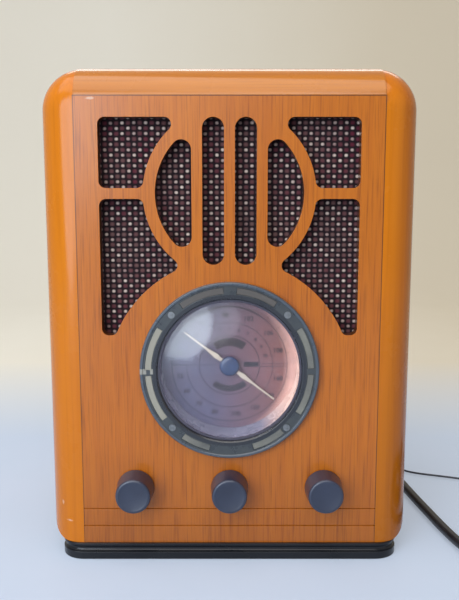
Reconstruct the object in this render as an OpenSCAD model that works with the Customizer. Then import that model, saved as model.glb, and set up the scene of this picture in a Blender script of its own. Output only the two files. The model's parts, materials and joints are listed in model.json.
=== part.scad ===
// Table radio receiver in a rounded wooden cabinet, with a pierced grille over cloth, a round
// dial with a double-ended pointer, three knobs, a mains cord and a wire aerial.
// The origin lies on the floor under the middle of the cabinet. X runs right, Y back and Z up.

/* [Cabinet] */
// Width over the side mouldings
cabinet_w = 240; // [236:1:270]
// Height from the floor to the crest of the top
cabinet_h = 320; // [318:1:350]
// Depth from the front panel to the back edge of the sides
cabinet_d = 180; // [172:1:220]
// Radius of the rounded side mouldings, which is also their width
corner_r = 23.4; // [20:0.1:24]
// Radius of the rounded upper corners
round_r = 27; // [24:0.5:30]
// Radius of the rounded lower corners
low_r = 13; // [8:0.5:16]
// How far the top stands proud of the side mouldings
top_step = 0.4; // [0.2:0.1:2]
// Radius of the rounded front edge of the top
nose_r = 25; // [20:0.5:28]
// Height of the top's front face over the front panel
top_front_h = 19; // [18:0.5:20]
// Radius on the ends of the top
top_end_r = 0.8; // [0.4:0.1:2]
// Thickness of the side walls
side_t = 10; // [8:0.5:11]
// Thickness of the top board
top_t = 10; // [8:0.5:12]
// Thickness of the bottom board
bottom_t = 7.2; // [7:0.1:10]
// Thickness of the front panel
panel_t = 9; // [8:0.5:10]
// Height of the upper groove across the front panel
groove_high_z = 34.4; // [30:0.1:35]
// Height of the lower groove across the front panel
groove_low_z = 22.6; // [18:0.1:26]
// Width of the grooves
groove_w = 0.9; // [0.6:0.1:1.6]
// Depth of the front battens
batten_d = 12; // [8:0.5:16]

/* [Plinth] */
// Height of the plinth
plinth_h = 10.8; // [10:0.1:12]
// How far the plinth stays inside the cabinet's sides
plinth_inset = 7.1; // [6:0.1:12]
// How far the plinth stands in front of the front panel
plinth_out = 2; // [0:0.5:3]
// Radius of the plinth's corners in plan
plinth_r = 16; // [10:0.5:20]
// Height of the plinth's lower edge, under its hollow moulding
plinth_edge_h = 5; // [4:0.1:6]
// Radius of the hollow moulding round the plinth
cove_r = 2.1; // [1.5:0.1:2.4]

/* [Back] */
// Thickness of the back cover
cover_t = 3; // [2:0.5:4]
// How far the back cover lies inside the back edge
cover_inset = 3; // [1:0.5:6]
// Gap round the back cover
cover_gap = 0.3; // [0.2:0.1:1]
// Width of the back battens
back_batten_w = 10; // [8:0.5:14]
// Length of a vent slot
vent_l = 26; // [16:1:30]
// Height of a vent slot
vent_h = 4; // [3:0.5:5]
// Distance between vent rows
vent_pitch = 12; // [9:0.5:16]
// Rows of vents
vent_rows = 7; // [3:1:8]

/* [Grille] */
// Distance from the front panel's upper edge down to the middle of the grille's round band
grille_drop = 60; // [58:0.5:62]
// Inner radius of the round band
band_in_r = 46.6; // [44:0.1:48]
// Outer radius of the round band
band_out_r = 54.2; // [52:0.1:56]
// Distance from the middle to the flat edge of a half-moon opening
moon_x = 23.8; // [22:0.1:26]
// Radius of the half-moon openings' tips
moon_r = 6.2; // [2:0.1:8]
// Half the width of the middle rib
rib_x = 3.4; // [2.5:0.1:4]
// Distance from the middle to the outer edge of a slot
slot_x = 17; // [15:0.1:18]
// Distance from the band's middle down to the lower ends of the slots
slot_down = 44.6; // [40:0.1:46]
// Distance from the band's middle up to the upper edge of the openings
grille_up = 46.8; // [45:0.1:49]
// Distance from the side mouldings to the openings
grille_edge = 15; // [14.6:0.1:18]
// Distance from the band's middle to the upper side of the cross rib
cross_up = 3.4; // [2:0.1:5]
// Distance from the band's middle to the lower side of the cross rib
cross_down = 3.3; // [2:0.1:5]
// Distance from the dial's middle up to the lower edge of the lowest openings
grille_low = 22.7; // [21:0.1:28]
// Radius of the curved lower edge of the grille
sweep_r = 78.4; // [76:0.1:80]
// How far the middle of that curve lies under the dial's middle
sweep_drop = 6.3; // [4:0.1:8]
// Radius of the openings' corners
grille_corner_r = 4.4; // [2:0.1:5]

/* [Cloth and baffle] */
// Thickness of the grille cloth
cloth_t = 0.6; // [0.4:0.1:1]
// How far the cloth reaches past the openings
cloth_margin = 6.4; // [5:0.1:6.6]
// Thickness of the speaker baffle
baffle_t = 6; // [4:0.5:7]

/* [Speaker] */
// Outer radius of the speaker basket's flange
basket_r = 54; // [53:0.5:55]
// Radius of the baffle's hole
baffle_hole_r = 48.5; // [47.5:0.1:49]
// Depth of the basket
basket_d = 30; // [28:0.5:34]
// Thickness of the basket's sheet
basket_t = 1.2; // [1:0.1:1.5]
// Radius of the speaker magnet
magnet_r = 30; // [26:0.5:34]
// Thickness of the speaker magnet
magnet_t = 12; // [8:0.5:16]
// Thickness of the yoke's plates
yoke_t = 4; // [3:0.5:5]
// Radius of the cone's outer edge
cone_r = 43; // [41:0.1:43.2]
// Radius of the voice coil's former
former_r = 10.2; // [9.5:0.1:11]
// Wall of the cone and the former
paper_t = 0.4; // [0.3:0.05:0.5]
// Air gap on each side of the voice coil
coil_gap = 0.5; // [0.4:0.05:0.7]
// Gap between the cone and its surround
cone_gap = 0.3; // [0.3:0.05:0.6]

/* [Dial] */
// Height of the dial's centre
dial_z = 128.3; // [126:0.1:130]
// Outer radius of the bezel
bezel_r = 57.5; // [56:0.1:59]
// Inner radius of the bezel
bezel_in_r = 46.4; // [46:0.1:47]
// How far the bezel stands proud of the panel
bezel_h = 5; // [4:0.1:6]
// Inner radius of the insert slots
insert_in_r = 50; // [49.6:0.1:50.5]
// Outer radius of the insert slots
insert_out_r = 54.2; // [53.5:0.1:55]
// Depth of the insert slots
insert_d = 1.2; // [0.8:0.1:2]
// Radius at which the bezel screws sit
bezel_screw_r = 52; // [51.5:0.1:52.5]
// How far the dome of the lens stands proud of its edge
lens_rise = 8.5; // [7:0.1:10]
// Thickness of the lens
lens_t = 1.6; // [1.2:0.1:2]
// Radius of the recess behind the lens
recess_r = 45.4; // [45:0.1:45.6]
// Radius of the recess at the dial face
recess_back_r = 42.9; // [42.6:0.1:45]
// Depth of the dial face behind the front panel's surface
face_depth = 15; // [14.5:0.1:16]
// Thickness of the dial face
face_t = 0.6; // [0.4:0.1:0.8]
// Wall of the dial housing
housing_t = 2; // [1.6:0.1:2]
// Outer radius of the dial housing's flange
flange_r = 56; // [55:0.1:57]
// Length of the pointer from its centre to a tip
pointer_r = 37.5; // [32:0.5:40]
// Angle of the pointer at rest, counter-clockwise from the right
pointer_angle = 142.6; // [130:0.1:150]
// Radius of the pointer's hub
hub_r = 6.5; // [5.5:0.1:8]
// Pitch radius of the drive cord on the drum
drum_r = 30; // [26:0.5:31]
// Radius of the drive cord
drive_cord_r = 0.4; // [0.3:0.05:0.5]
// Radius of the pointer's shaft
pointer_shaft_r = 2; // [1.5:0.1:2.5]

/* [Controls] */
// Height of the knobs
knob_z = 49.3; // [48:0.1:51]
// Distance from the middle knob to an outer knob
knob_x = 61.7; // [58:0.1:64]
// Radius of a knob at its base
knob_r = 12.3; // [11:0.1:13.5]
// Radius of a knob's front edge
knob_front_r = 11.3; // [10:0.1:12]
// Radius of the rounding round a knob's front edge
knob_edge = 1.5; // [0.5:0.1:2]
// How far a knob stands out from the panel
knob_out = 17; // [15:0.5:20]
// Radius of the control shafts
shaft_r = 3; // [2.9:0.05:3.1]
// Pitch radius of the drive cord on the tuning shaft
spindle_r = 3; // [2.9:0.05:3.05]
// Running clearance round a shaft
running_gap = 0.05; // [0.02:0.01:0.09]
// Thickness of the control bracket
bracket_t = 1.5; // [1:0.1:2]

// Gap between the control bracket and the battens beside it
bracket_gap = 6.9; // [2:0.1:8]
// Distance from the end of the bracket to its screws
bracket_screw_in = 11.7; // [6:0.1:14]

/* [Inside] */
// Width of the circuit board
board_w = 100; // [90:1:110]
// Depth of the circuit board
board_d = 82; // [76:1:86]
// Height of the board's posts
post_h = 10; // [8:0.5:14]
// Radius of the aerial rod
rod_r = 5; // [4:0.1:6]
// How far the aerial rod ends inside the circuit board's ends
rod_inset = 4; // [2:0.5:8]
// Length of the coil on the aerial rod
rod_coil_l = 28; // [20:1:36]
// Thickness of the coil on the aerial rod
rod_coil_t = 1.2; // [0.8:0.1:2]
// Height of the transformer
transformer_h = 42; // [36:0.5:50]

/* [Cords] */
// Diameter of the mains cord
cord_dia = 7; // [7:0.1:7.1]
// Diameter of the aerial wire
wire_dia = 1.7; // [1.6:0.05:1.75]

/* [Hidden] */

wood_front = "#b8743a";
wood_side = "#c8691f";
raw_wood = "#b99468";
black = "#1c1c1f";
steel = "#a9adb0";
brass = "#b59a4a";

cut = 1;  // how far a cutting solid runs past a face
touch_gap = 0.1;  // gap round a piece that is dropped into its seat
batten_gap = 0.4;  // gap between the cloth and the battens beside it
screw_gap = 0.05;  // gap round a screw's shank

front_y = -cabinet_d / 2;
back_y = cabinet_d / 2;
panel_x = cabinet_w / 2 - corner_r;
wall_x = cabinet_w / 2 - side_t;
arc_z = cabinet_h - top_step - corner_r;
arc_in_r = corner_r - side_t;
panel_top = cabinet_h - top_front_h;
round_z = cabinet_h - top_step - round_r;
grille_x = panel_x - grille_edge;
grille_z = panel_top - grille_drop;
grille_top_z = grille_z + grille_up;
grille_low_z = dial_z + grille_low;
ceiling_z = cabinet_h - top_t;
inner_floor = plinth_h + bottom_t;
panel_back = front_y + panel_t;
cloth_back = panel_back + cloth_t;
baffle_back = cloth_back + baffle_t;
post_back = front_y + corner_r;

cover_back = back_y - cover_inset;
cover_front = cover_back - cover_t;
cover_screw_x = wall_x - back_batten_w / 2;
cover_screw_zs = [inner_floor + 12, (inner_floor + arc_z) / 2, arc_z - 12];
wood_screw_r = 1.5;
wood_screw_l = 9;

cloth_x = grille_x + cloth_margin;
cloth_top = grille_top_z + cloth_margin;
cloth_low = grille_low_z - cloth_margin;
cloth_cut_r = flange_r + 1;

gasket_t = 1.5;
gasket_in_r = baffle_hole_r + 1;
flange_y = baffle_back + gasket_t;
basket_in_r = baffle_hole_r - 2;
basket_end_r = magnet_r - 1;
basket_back = flange_y + basket_d + basket_t;
speaker_screw_ring = (gasket_in_r + basket_r) / 2;
yoke_front_back = basket_back + yoke_t;
magnet_back = yoke_front_back + magnet_t;
pole_r = former_r - paper_t - coil_gap;
winding_t = 0.6;
gap_out_r = former_r + winding_t + coil_gap;
cone_depth = 20;
surround_in_r = cone_r + cone_gap;
spider_y = flange_y + 26;

bezel_front = front_y - bezel_h;
lens_r = bezel_in_r - touch_gap;
lens_sphere_r = (lens_r * lens_r + lens_rise * lens_rise) / (2 * lens_rise);
lens_ring_in_r = lens_r - 1.4;
face_y = front_y + face_depth;
housing_plate_y = face_y + face_t;
housing_back = housing_plate_y + housing_t;
housing_r = recess_r + housing_t;
panel_hole_r = housing_r + 0.3;
flange_back = panel_back + housing_t;
bushing_back = housing_back + 4;
bezel_screw_angles = [45, 135, 225, 315];
bezel_shank_r = 1.1;
insert_spans = [[2, 32], [56, 85], [94, 126], [148, 179], [183, 217], [235, 256], [287, 311], [328, 358]];
insert_gap = 0.15;
boss_ring = 41;
boss_r = 3.5;
boss_screw_r = 1.2;
capacitor_y = face_y + 23;
plate_t = 1.5;
plate_half = boss_ring * cos(45) + 4.5;
capacitor_half = 13;
capacitor_d = 16;
lamp_x = 39;
lamp_base_r = 3;
socket_r = 4.6;
socket_l = 10;
socket_back = housing_back + socket_l;
pointer_t = 0.8;
pointer_back = face_y - 2.4;
pointer_front = pointer_back - pointer_t;
hub_front = pointer_front - 2.8;
shaft_front = pointer_front - 1.6;
shaft_back = capacitor_y + 6;

cord_y = face_y + 12;
groove_half = 2.5;
drum_flange_r = drum_r + 2;
drum_half = groove_half + 1;
groove_r = drum_r - drive_cord_r - 0.1;
neck_r = spindle_r - drive_cord_r - 0.1;
spindle_run = [knob_x, knob_z - dial_z];
spindle_far = norm(spindle_run);
spindle_angle = atan2(spindle_run[1], spindle_run[0]);
wrap_angle = acos((drum_r - spindle_r) / spindle_far);

bracket_y = panel_back + 7;
bracket_back = bracket_y + bracket_t;
front_batten_w = panel_x - cloth_x - batten_gap;
bracket_x = panel_x - front_batten_w - bracket_gap;
bracket_top = knob_z + 15;
foot_d = 20;
foot_screw_x = bracket_x - bracket_screw_in;
foot_screw_xs = [-foot_screw_x, 0, foot_screw_x];
foot_screw_y = bracket_back + foot_d - 6;
knob_back = front_y - 0.4;
knob_front = front_y - knob_out;
knob_floor = knob_front + 3;
bushing_r = 4.75;
bushing_front = bracket_y - 5;
nut_r = 6.9;
nut_t = 2;
control_d = 12;
shaft_tail = bracket_back + 6;
tuning_tail = cord_y + 6;

board_t = 1.6;
board_x = -34;
board_y = 4;
board_z = inner_floor + post_h;
board_top = board_z + board_t;
board_screw_x = board_w / 2 - 6;
board_screw_y = board_d / 2 - 6;
rod_z = board_top + 24;
rod_y = board_y + board_d / 2 - 8;
rod_l = board_w - 2 * rod_inset;
holder_w = 6;
transformer_x = 62;
transformer_y = 20;
core_w = 48;
core_d = 24;
leg_half = 7;
window_half = 16;
window_gap = 0.2;
yoke_w = 8;
winding_half_d = 18;

relief_x = 70;
relief_z = inner_floor + 8;
relief_r = 6;
relief_tail = 22;
relief_back = cover_back + relief_tail;
grommet_x = 10;
grommet_z = inner_floor + 22;
grommet_r = 3;
grommet_back = cover_back + 2;

cord_low = cord_dia / 2 + 0.6;
wire_low = wire_dia / 2 + 0.6;

// The mains cord leaves the strain relief level, sinks to the floor through a half turn behind the
// cabinet's corner and runs forward past its right side to the coil. Points are in millimetres.
turn_r = 34;
turn_y = relief_back + 9;
sink_l = 104;
cord_plan = concat(
    [[relief_x, relief_back]],
    [
        for (k = [0 : 10])
            [relief_x + turn_r * (1 - cos(18 * k)), turn_y + turn_r * sin(18 * k)]
    ],
    [
        [138.2, 100], [138.7, 82], [139.5, 62], [141, 42], [143.4, 20], [146.2, -4], [149.4, -28],
        [153, -54], [157.5, -77], [164, -96], [174.5, -110.5], [188, -119], [202, -122.2], [216, -122.6]
    ]
);
cord_route = [
    for (i = [0 : len(cord_plan) - 1])
        let(run = path_length(cord_plan) - path_length(cord_plan, i + 1))
        [cord_plan[i][0], cord_plan[i][1], relief_z + (cord_low - relief_z) * ease(run / sink_l)]
];
// The aerial wire leaves its grommet, drops to the floor and runs round outside the mains cord.
wire_route = [
    [grommet_x, grommet_back, grommet_z], [10.2, 97, 39.6], [11.6, 107, 36], [14.5, 118, 26],
    [18.5, 128, 13], [25, 138, 4.5], [35, 147, wire_low], [48, 154.5, wire_low],
    [63, 160, wire_low], [80, 163.5, wire_low], [97, 164.5, wire_low], [114, 162, wire_low],
    [129, 154.5, wire_low], [139.5, 142, wire_low], [144.5, 127, wire_low], [146.5, 111, wire_low],
    [147, 96, wire_low], [147.5, 84, wire_low], [149.5, 73, wire_low], [153.8, 64.5, wire_low],
    [163, 58.5, wire_low], [178, 53, wire_low], [194, 47, wire_low], [206, 41, wire_low],
    [216, 34.5, wire_low], [226, 32, wire_low]
];
route_steps = 2;

coil_sides = 6;
coil_rings = 24;
cord_coil = [[228, -73.6], 49, 5.25, cord_dia + 0.8, cord_dia + 0.8, cord_low, 2];
wire_coil = [[230, 46], 14, 12, wire_dia + 0.5, wire_dia + 0.5, wire_low, 4];
lead_out = 46;
plug_z = 8.5;
plug_w = 24;
plug_h = 16.8;
plug_l = 30;
pin_gap = 12.7;
pin_w = 6.4;
pin_t = 1.5;
pin_l = 17;
tie_t = 0.55;
tie_w = 5;
tie_gap = 0.4;

// Places and directions

// A solid from an outline in X and Z, between two places along Y
module slab(y0, y1) {
    translate([0, y1, 0])
        rotate([90, 0, 0])
            linear_extrude(y1 - y0)
                children();
}

// A solid from an outline in Y and Z, between two places along X
module beam(x0, x1) {
    translate([x0, 0, 0])
        rotate([90, 0, 90])
            linear_extrude(x1 - x0)
                children();
}

// A round bar along Y
module rod(x, z, y0, y1, r) {
    translate([x, y1, z])
        rotate([90, 0, 0])
            cylinder(h = y1 - y0, r = r, $fn = 96);
}

// A body turned about a line along Y, from an outline in radius and Y
module turned(x, z) {
    translate([x, 0, z])
        rotate([-90, 0, 0])
            rotate_extrude($fn = 96)
                children();
}

// Part of a ring about the dial's axis, between two angles seen from the front
module ring_part(a0, a1, r0, r1, y0, y1) {
    translate([0, 0, dial_z])
        rotate([-90, 0, 0])
            rotate([0, 0, -a1])
                rotate_extrude(angle = a1 - a0, $fn = 96)
                    translate([r0, y0])
                        square([r1 - r0, y1 - y0]);
}

// A screw along Y with its head towards the front or the back
module screw_y(x, z, seat_y, head_r, head_t, shank_r, shank_l, way) {
    head_y = way > 0 ? seat_y - head_t : seat_y;
    shank_y = way > 0 ? seat_y : seat_y - shank_l;
    difference() {
        union() {
            rod(x, z, head_y, head_y + head_t, head_r);
            rod(x, z, shank_y, shank_y + shank_l, shank_r);
        }
        slot_y = way > 0 ? head_y - cut : head_y + head_t / 2;
        translate([x - head_r - cut, slot_y, z - 0.4])
            cube([2 * (head_r + cut), head_t / 2 + cut, 0.8]);
    }
}

// A screw along Z with its head up
module screw_z(x, y, seat_z, head_r, head_t, shank_r, shank_l) {
    translate([x, y, seat_z - shank_l])
        cylinder(h = shank_l, r = shank_r, $fn = 48);
    translate([x, y, seat_z])
        cylinder(h = head_t, r = head_r, $fn = 48);
}

// Swept tubes

function unit(v) = v / norm(v);

// Direction of a path at one of its points
function heading(path, i) =
    unit(path[min(i + 1, len(path) - 1)] - path[max(i - 1, 0)]);

// One ring of a tube, square to the path and set by a direction that the path never takes
function ring_at(path, i, r, sides, over) =
    let(
        ahead = heading(path, i),
        side = unit(cross(ahead, over)),
        up = cross(side, ahead)
    )
    [for (k = [0 : sides - 1])
        let(a = 360 * (k + 0.5) / sides)
        path[i] + r * (cos(a) * side + sin(a) * up)];

// A closed tube of triangles along a path
module tube(path, r, sides, over = [0, 0, 1]) {
    rings = len(path);
    points = [for (i = [0 : rings - 1]) each ring_at(path, i, r, sides, over)];
    walls = [
        for (i = [0 : rings - 2])
            for (k = [0 : sides - 1])
                let(
                    a = i * sides + k,
                    b = i * sides + (k + 1) % sides
                )
                each [[a, b, b + sides], [a, b + sides, a + sides]]
    ];
    last = (rings - 1) * sides;
    ends = [
        for (k = [1 : sides - 2])
            each [[0, k + 1, k], [last, last + k, last + k + 1]]
    ];
    polyhedron(points = points, faces = [for (f = concat(walls, ends)) [f[2], f[1], f[0]]]);
}

// A point on the smooth curve through a route, between its points i and i + 1
function curve_point(route, i, t) =
    let(
        p0 = i > 0 ? route[i - 1] : 2 * route[0] - route[1],
        p1 = route[i],
        p2 = route[i + 1],
        p3 = i + 2 < len(route) ? route[i + 2] : 2 * route[i + 1] - route[i]
    )
    0.5 * (2 * p1 + (p2 - p0) * t + (2 * p0 - 5 * p1 + 4 * p2 - p3) * t * t
        + (3 * p1 - p0 - 3 * p2 + p3) * t * t * t);

function smooth(route, steps) = [
    for (i = [0 : len(route) - 2])
        for (s = [0 : steps - 1])
            curve_point(route, i, s / steps),
    route[len(route) - 1]
];

function ease(t) = let(c = max(0, min(1, t))) c * c * (3 - 2 * c);

// Length of a path
function path_length(path, i = 1) =
    i >= len(path) ? 0 : norm(path[i] - path[i - 1]) + path_length(path, i + 1);

// Coils

// A coil is [centre, outer radius, turns, pitch, layer height, height of the first layer, layers].
// Its spiral runs in and out again, and climbs a layer in the half turn where it reverses.
function coil_radius(c, u) =
    let(
        share = c[2] / c[6],
        layer = min(c[6] - 1, floor(u / share)),
        along = u - layer * share
    )
    c[1] - c[3] * (layer % 2 == 0 ? along : share - along);

function coil_height(c, u) =
    let(share = c[2] / c[6])
    c[5] + c[4] * (c[6] < 2 ? 0 : climb(u, share, 1, c[6]));

function climb(u, share, k, layers) =
    k >= layers ? 0 : ease((u - k * share) / 0.5 + 0.5) + climb(u, share, k + 1, layers);

function coil_turn(c, u) =
    let(a = 360 * u - 90, r = coil_radius(c, u))
    [c[0][0] + r * cos(a), c[0][1] + r * sin(a), coil_height(c, u)];

function coil_turns(c) = [
    for (i = [0 : c[2] * coil_rings])
        coil_turn(c, i / coil_rings)
];

function least_gap(path, dia, skip) =
    min([
        for (i = [0 : len(path) - 1])
            for (j = [i + skip : len(path) - 1])
                if (j > i + skip)
                    norm(path[i] - path[j])
    ]) - dia;

// The mains coil starts where the cord's route ends and leaves sideways, down to the plug
cord_lead_in = [for (k = [2, 1]) [cord_coil[0][0] - 6 * k, cord_coil[0][1] - cord_coil[1], cord_coil[5]]];
cord_exit = coil_turn(cord_coil, cord_coil[2]);
cord_lead_out = [
    for (k = [1 : 5])
        [
            cord_exit[0],
            cord_exit[1] + lead_out * k / 5,
            cord_exit[2] + (plug_z - cord_exit[2]) * ease(k / 4)
        ]
];
cord_coil_path = concat(cord_lead_in, coil_turns(cord_coil), cord_lead_out);
plug_x = cord_exit[0];
plug_y = cord_exit[1] + lead_out;

wire_lead_in = [for (k = [2, 1]) [wire_coil[0][0] - 2 * k, wire_coil[0][1] - wire_coil[1], wire_coil[5]]];
wire_exit = coil_turn(wire_coil, wire_coil[2]);
wire_lead_out = [for (k = [1, 2]) wire_exit + [2 * k, 0, 0]];
wire_coil_path = concat(wire_lead_in, coil_turns(wire_coil), wire_lead_out);

wire_path = smooth(wire_route, route_steps);

echo(cord_length = path_length(cord_route) + path_length(cord_coil_path));
echo(cord_coil_gap = least_gap(cord_coil_path, cord_dia, coil_rings / 2));
echo(wire_length = path_length(wire_path) + path_length(wire_coil_path));
echo(wire_coil_gap = least_gap(wire_coil_path, wire_dia, coil_rings / 2));
echo(tuning_ratio = drum_r / spindle_r);

// Cabinet

module corner_profile() {
    translate([0, plinth_h])
        square([corner_r, round_z - plinth_h]);
    translate([0, round_z])
        intersection() {
            translate([corner_r - round_r, 0])
                circle(round_r, $fn = 128);
            square([corner_r, round_r]);
        }
}

module wall_profile() {
    difference() {
        translate([panel_x, 0])
            corner_profile();
        translate([panel_x - cut, plinth_h - cut])
            square([arc_in_r + cut, arc_z - plinth_h + cut]);
        translate([panel_x, arc_z])
            circle(arc_in_r, $fn = 96);
    }
}

module side_moulding() {
    difference() {
        union() {
            translate([panel_x, post_back, 0])
                rotate([0, 0, -90])
                    rotate_extrude(angle = 90, $fn = 96)
                        corner_profile();
            slab(post_back, back_y)
                wall_profile();
        }
        slab(front_y - cut, back_y + cut)
            translate([cabinet_w / 2 - low_r, plinth_h])
                difference() {
                    translate([0, -cut])
                        square([low_r + cut, low_r + cut]);
                    translate([0, low_r])
                        circle(low_r, $fn = 96);
                }
    }
}

module side_right() {
    color(wood_side)
        side_moulding();
}

module side_left() {
    color(wood_side)
        mirror([1, 0, 0])
            side_moulding();
}

module top_board() {
    color(wood_side)
        intersection() {
            beam(-panel_x, panel_x) {
                intersection() {
                    union() {
                        translate([front_y + nose_r, cabinet_h - nose_r])
                            circle(nose_r, $fn = 128);
                        translate([front_y + nose_r, panel_top])
                            square([cabinet_d - nose_r, top_front_h]);
                    }
                    union() {
                        translate([front_y, panel_top])
                            square([corner_r, top_front_h]);
                        translate([post_back, ceiling_z])
                            square([back_y - post_back, top_t]);
                    }
                }
            }
            slab(front_y - cut, back_y + cut) {
                translate([-panel_x, panel_top - cut])
                    square([2 * panel_x, top_front_h + cut - top_end_r]);
                translate([-panel_x + top_end_r, cabinet_h - top_end_r - cut])
                    square([2 * (panel_x - top_end_r), top_end_r + cut]);
                for (side = [-1, 1])
                    translate([side * (panel_x - top_end_r), cabinet_h - top_end_r])
                        circle(top_end_r, $fn = 48);
            }
        }
}

module half_plan(gap) {
    translate([0, front_y + panel_t + gap])
        square([panel_x - gap, cover_front - panel_back - 2 * gap]);
    translate([0, post_back + gap])
        square([wall_x - gap, cover_front - post_back - 2 * gap]);
}

module bottom_board() {
    color(raw_wood)
        difference() {
            translate([0, 0, plinth_h])
                linear_extrude(bottom_t) {
                    half_plan(0);
                    mirror([1, 0])
                        half_plan(0);
                }
            for (x = foot_screw_xs)
                translate([x, foot_screw_y, inner_floor - 6])
                    cylinder(h = 6 + cut, r = boss_screw_r + screw_gap, $fn = 48);
        }
}

module grille_side() {
    // half-moon
    offset(r = moon_r, $fn = 48)
        offset(delta = -moon_r)
            intersection() {
                translate([0, grille_z])
                    circle(band_in_r, $fn = 96);
                translate([moon_x, grille_z - band_in_r])
                    square(2 * band_in_r);
            }
    // slot beside the middle rib
    slot_r = (slot_x - rib_x) / 2;
    slot_low_z = grille_z - slot_down;
    translate([rib_x, slot_low_z + slot_r])
        square([2 * slot_r, grille_top_z - slot_low_z - 2 * slot_r]);
    for (z = [slot_low_z + slot_r, grille_top_z - slot_r])
        translate([rib_x + slot_r, z])
            circle(slot_r, $fn = 48);
    // corner opening above the cross rib
    offset(r = grille_corner_r, $fn = 32)
        offset(delta = -grille_corner_r)
            difference() {
                translate([moon_x, grille_z + cross_up])
                    square([grille_x - moon_x, grille_up - cross_up]);
                translate([0, grille_z])
                    circle(band_out_r, $fn = 128);
            }
    // swept opening below the cross rib
    offset(r = grille_corner_r, $fn = 32)
        offset(delta = -grille_corner_r)
            difference() {
                translate([moon_x, grille_low_z])
                    square([grille_x - moon_x, grille_z - cross_down - grille_low_z]);
                translate([0, grille_z])
                    circle(band_out_r, $fn = 128);
                translate([0, dial_z - sweep_drop])
                    circle(sweep_r, $fn = 160);
            }
}

module groove(z) {
    beam(-panel_x - cut, panel_x + cut)
        polygon([
            [front_y - cut, z - groove_w / 2],
            [front_y, z - groove_w / 2],
            [front_y + groove_w, z],
            [front_y, z + groove_w / 2],
            [front_y - cut, z + groove_w / 2]
        ]);
}

module front_panel() {
    color(wood_front)
        difference() {
            slab(front_y, panel_back)
                translate([-panel_x, plinth_h])
                    square([2 * panel_x, panel_top - plinth_h]);
            slab(front_y - cut, panel_back + cut) {
                grille_side();
                mirror([1, 0])
                    grille_side();
            }
            rod(0, dial_z, front_y - cut, panel_back + cut, panel_hole_r);
            for (x = [-knob_x, 0, knob_x])
                rod(x, knob_z, front_y - cut, panel_back + cut, shaft_r + 2.5);
            for (a = bezel_screw_angles)
                rod(bezel_screw_r * cos(a), dial_z + bezel_screw_r * sin(a), front_y - cut,
                    panel_back + cut, bezel_shank_r + 0.2);
            groove(groove_high_z);
            groove(groove_low_z);
        }
}

module cabinet_battens() {
    color(raw_wood) {
        for (side = [0, 1])
            mirror([side, 0, 0]) {
                translate([panel_x - front_batten_w, panel_back, inner_floor])
                    cube([front_batten_w, batten_d, panel_top - inner_floor]);
                difference() {
                    translate([wall_x - back_batten_w, cover_front - back_batten_w, inner_floor])
                        cube([back_batten_w, back_batten_w, arc_z - inner_floor]);
                    for (z = cover_screw_zs)
                        rod(cover_screw_x, z, cover_front - wood_screw_l + cover_t, cover_front + cut,
                            wood_screw_r + screw_gap);
                }
            }
    }
}

module plinth() {
    edge_x = cabinet_w / 2 - plinth_inset;
    corner_x = edge_x - plinth_r;
    plinth_front = front_y - plinth_out;
    plinth_back = back_y - 3;
    color(black) {
        for (side = [0, 1])
            mirror([side, 0, 0]) {
                translate([corner_x, plinth_front + plinth_r, 0])
                    rotate([0, 0, -90])
                        rotate_extrude(angle = 90, $fn = 96)
                            plinth_profile();
                translate([corner_x, plinth_back - plinth_r, 0])
                    rotate_extrude(angle = 90, $fn = 96)
                        plinth_profile();
                slab(plinth_front + plinth_r, plinth_back - plinth_r)
                    translate([corner_x, 0])
                        plinth_profile();
            }
        beam(-corner_x, corner_x) {
            translate([plinth_back - plinth_r, 0])
                plinth_profile();
            translate([plinth_front + plinth_r, 0])
                mirror([1, 0])
                    plinth_profile();
            translate([plinth_front + plinth_r, 0])
                square([plinth_back - plinth_front - 2 * plinth_r, plinth_h]);
        }
    }
}

module plinth_profile() {
    difference() {
        square([plinth_r, plinth_h]);
        translate([plinth_r, plinth_edge_h + cove_r])
            circle(cove_r, $fn = 48);
    }
}

// Back

module cover_outline() {
    for (side = [0, 1])
        mirror([side, 0]) {
            translate([0, plinth_h + cover_gap])
                square([wall_x - cover_gap, arc_z - plinth_h - cover_gap]);
            translate([0, arc_z])
                square([panel_x, ceiling_z - arc_z - cover_gap]);
            translate([panel_x, arc_z])
                intersection() {
                    circle(arc_in_r - cover_gap, $fn = 96);
                    square(arc_in_r);
                }
        }
}

module vent(x, z) {
    end_x = vent_l / 2 - vent_h / 2;
    slab(cover_front - cut, cover_back + cut)
        translate([x, z]) {
            square([2 * end_x, vent_h], center = true);
            for (side = [-1, 1])
                translate([side * end_x, 0])
                    circle(vent_h / 2, $fn = 24);
        }
}

module back_cover() {
    color("#6b4a2c")
        difference() {
            slab(cover_front, cover_back)
                cover_outline();
            for (row = [0 : vent_rows - 1])
                for (column = [-1.5 : 1.5])
                    vent(column * (vent_l + 10), grille_z - 30 + (row - (vent_rows - 1) / 2) * vent_pitch);
            for (x = [-cover_screw_x, cover_screw_x])
                for (z = cover_screw_zs)
                    rod(x, z, cover_front - cut, cover_back + cut, wood_screw_r + 0.3);
            rod(relief_x, relief_z, cover_front - cut, cover_back + cut, relief_r);
            rod(grommet_x, grommet_z, cover_front - cut, cover_back + cut, grommet_r);
        }
}

module back_screws() {
    color(steel)
        for (x = [-cover_screw_x, cover_screw_x])
            for (z = cover_screw_zs)
                screw_y(x, z, cover_back, 3, 1.8, wood_screw_r, wood_screw_l, -1);
}

// Grille cloth and speaker

module cloth_outline() {
    difference() {
        translate([-cloth_x, cloth_low])
            square([2 * cloth_x, cloth_top - cloth_low]);
        translate([0, dial_z])
            circle(cloth_cut_r, $fn = 128);
    }
}

module grille_cloth() {
    color("#4a2a2c")
        slab(panel_back, cloth_back)
            cloth_outline();
}

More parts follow.
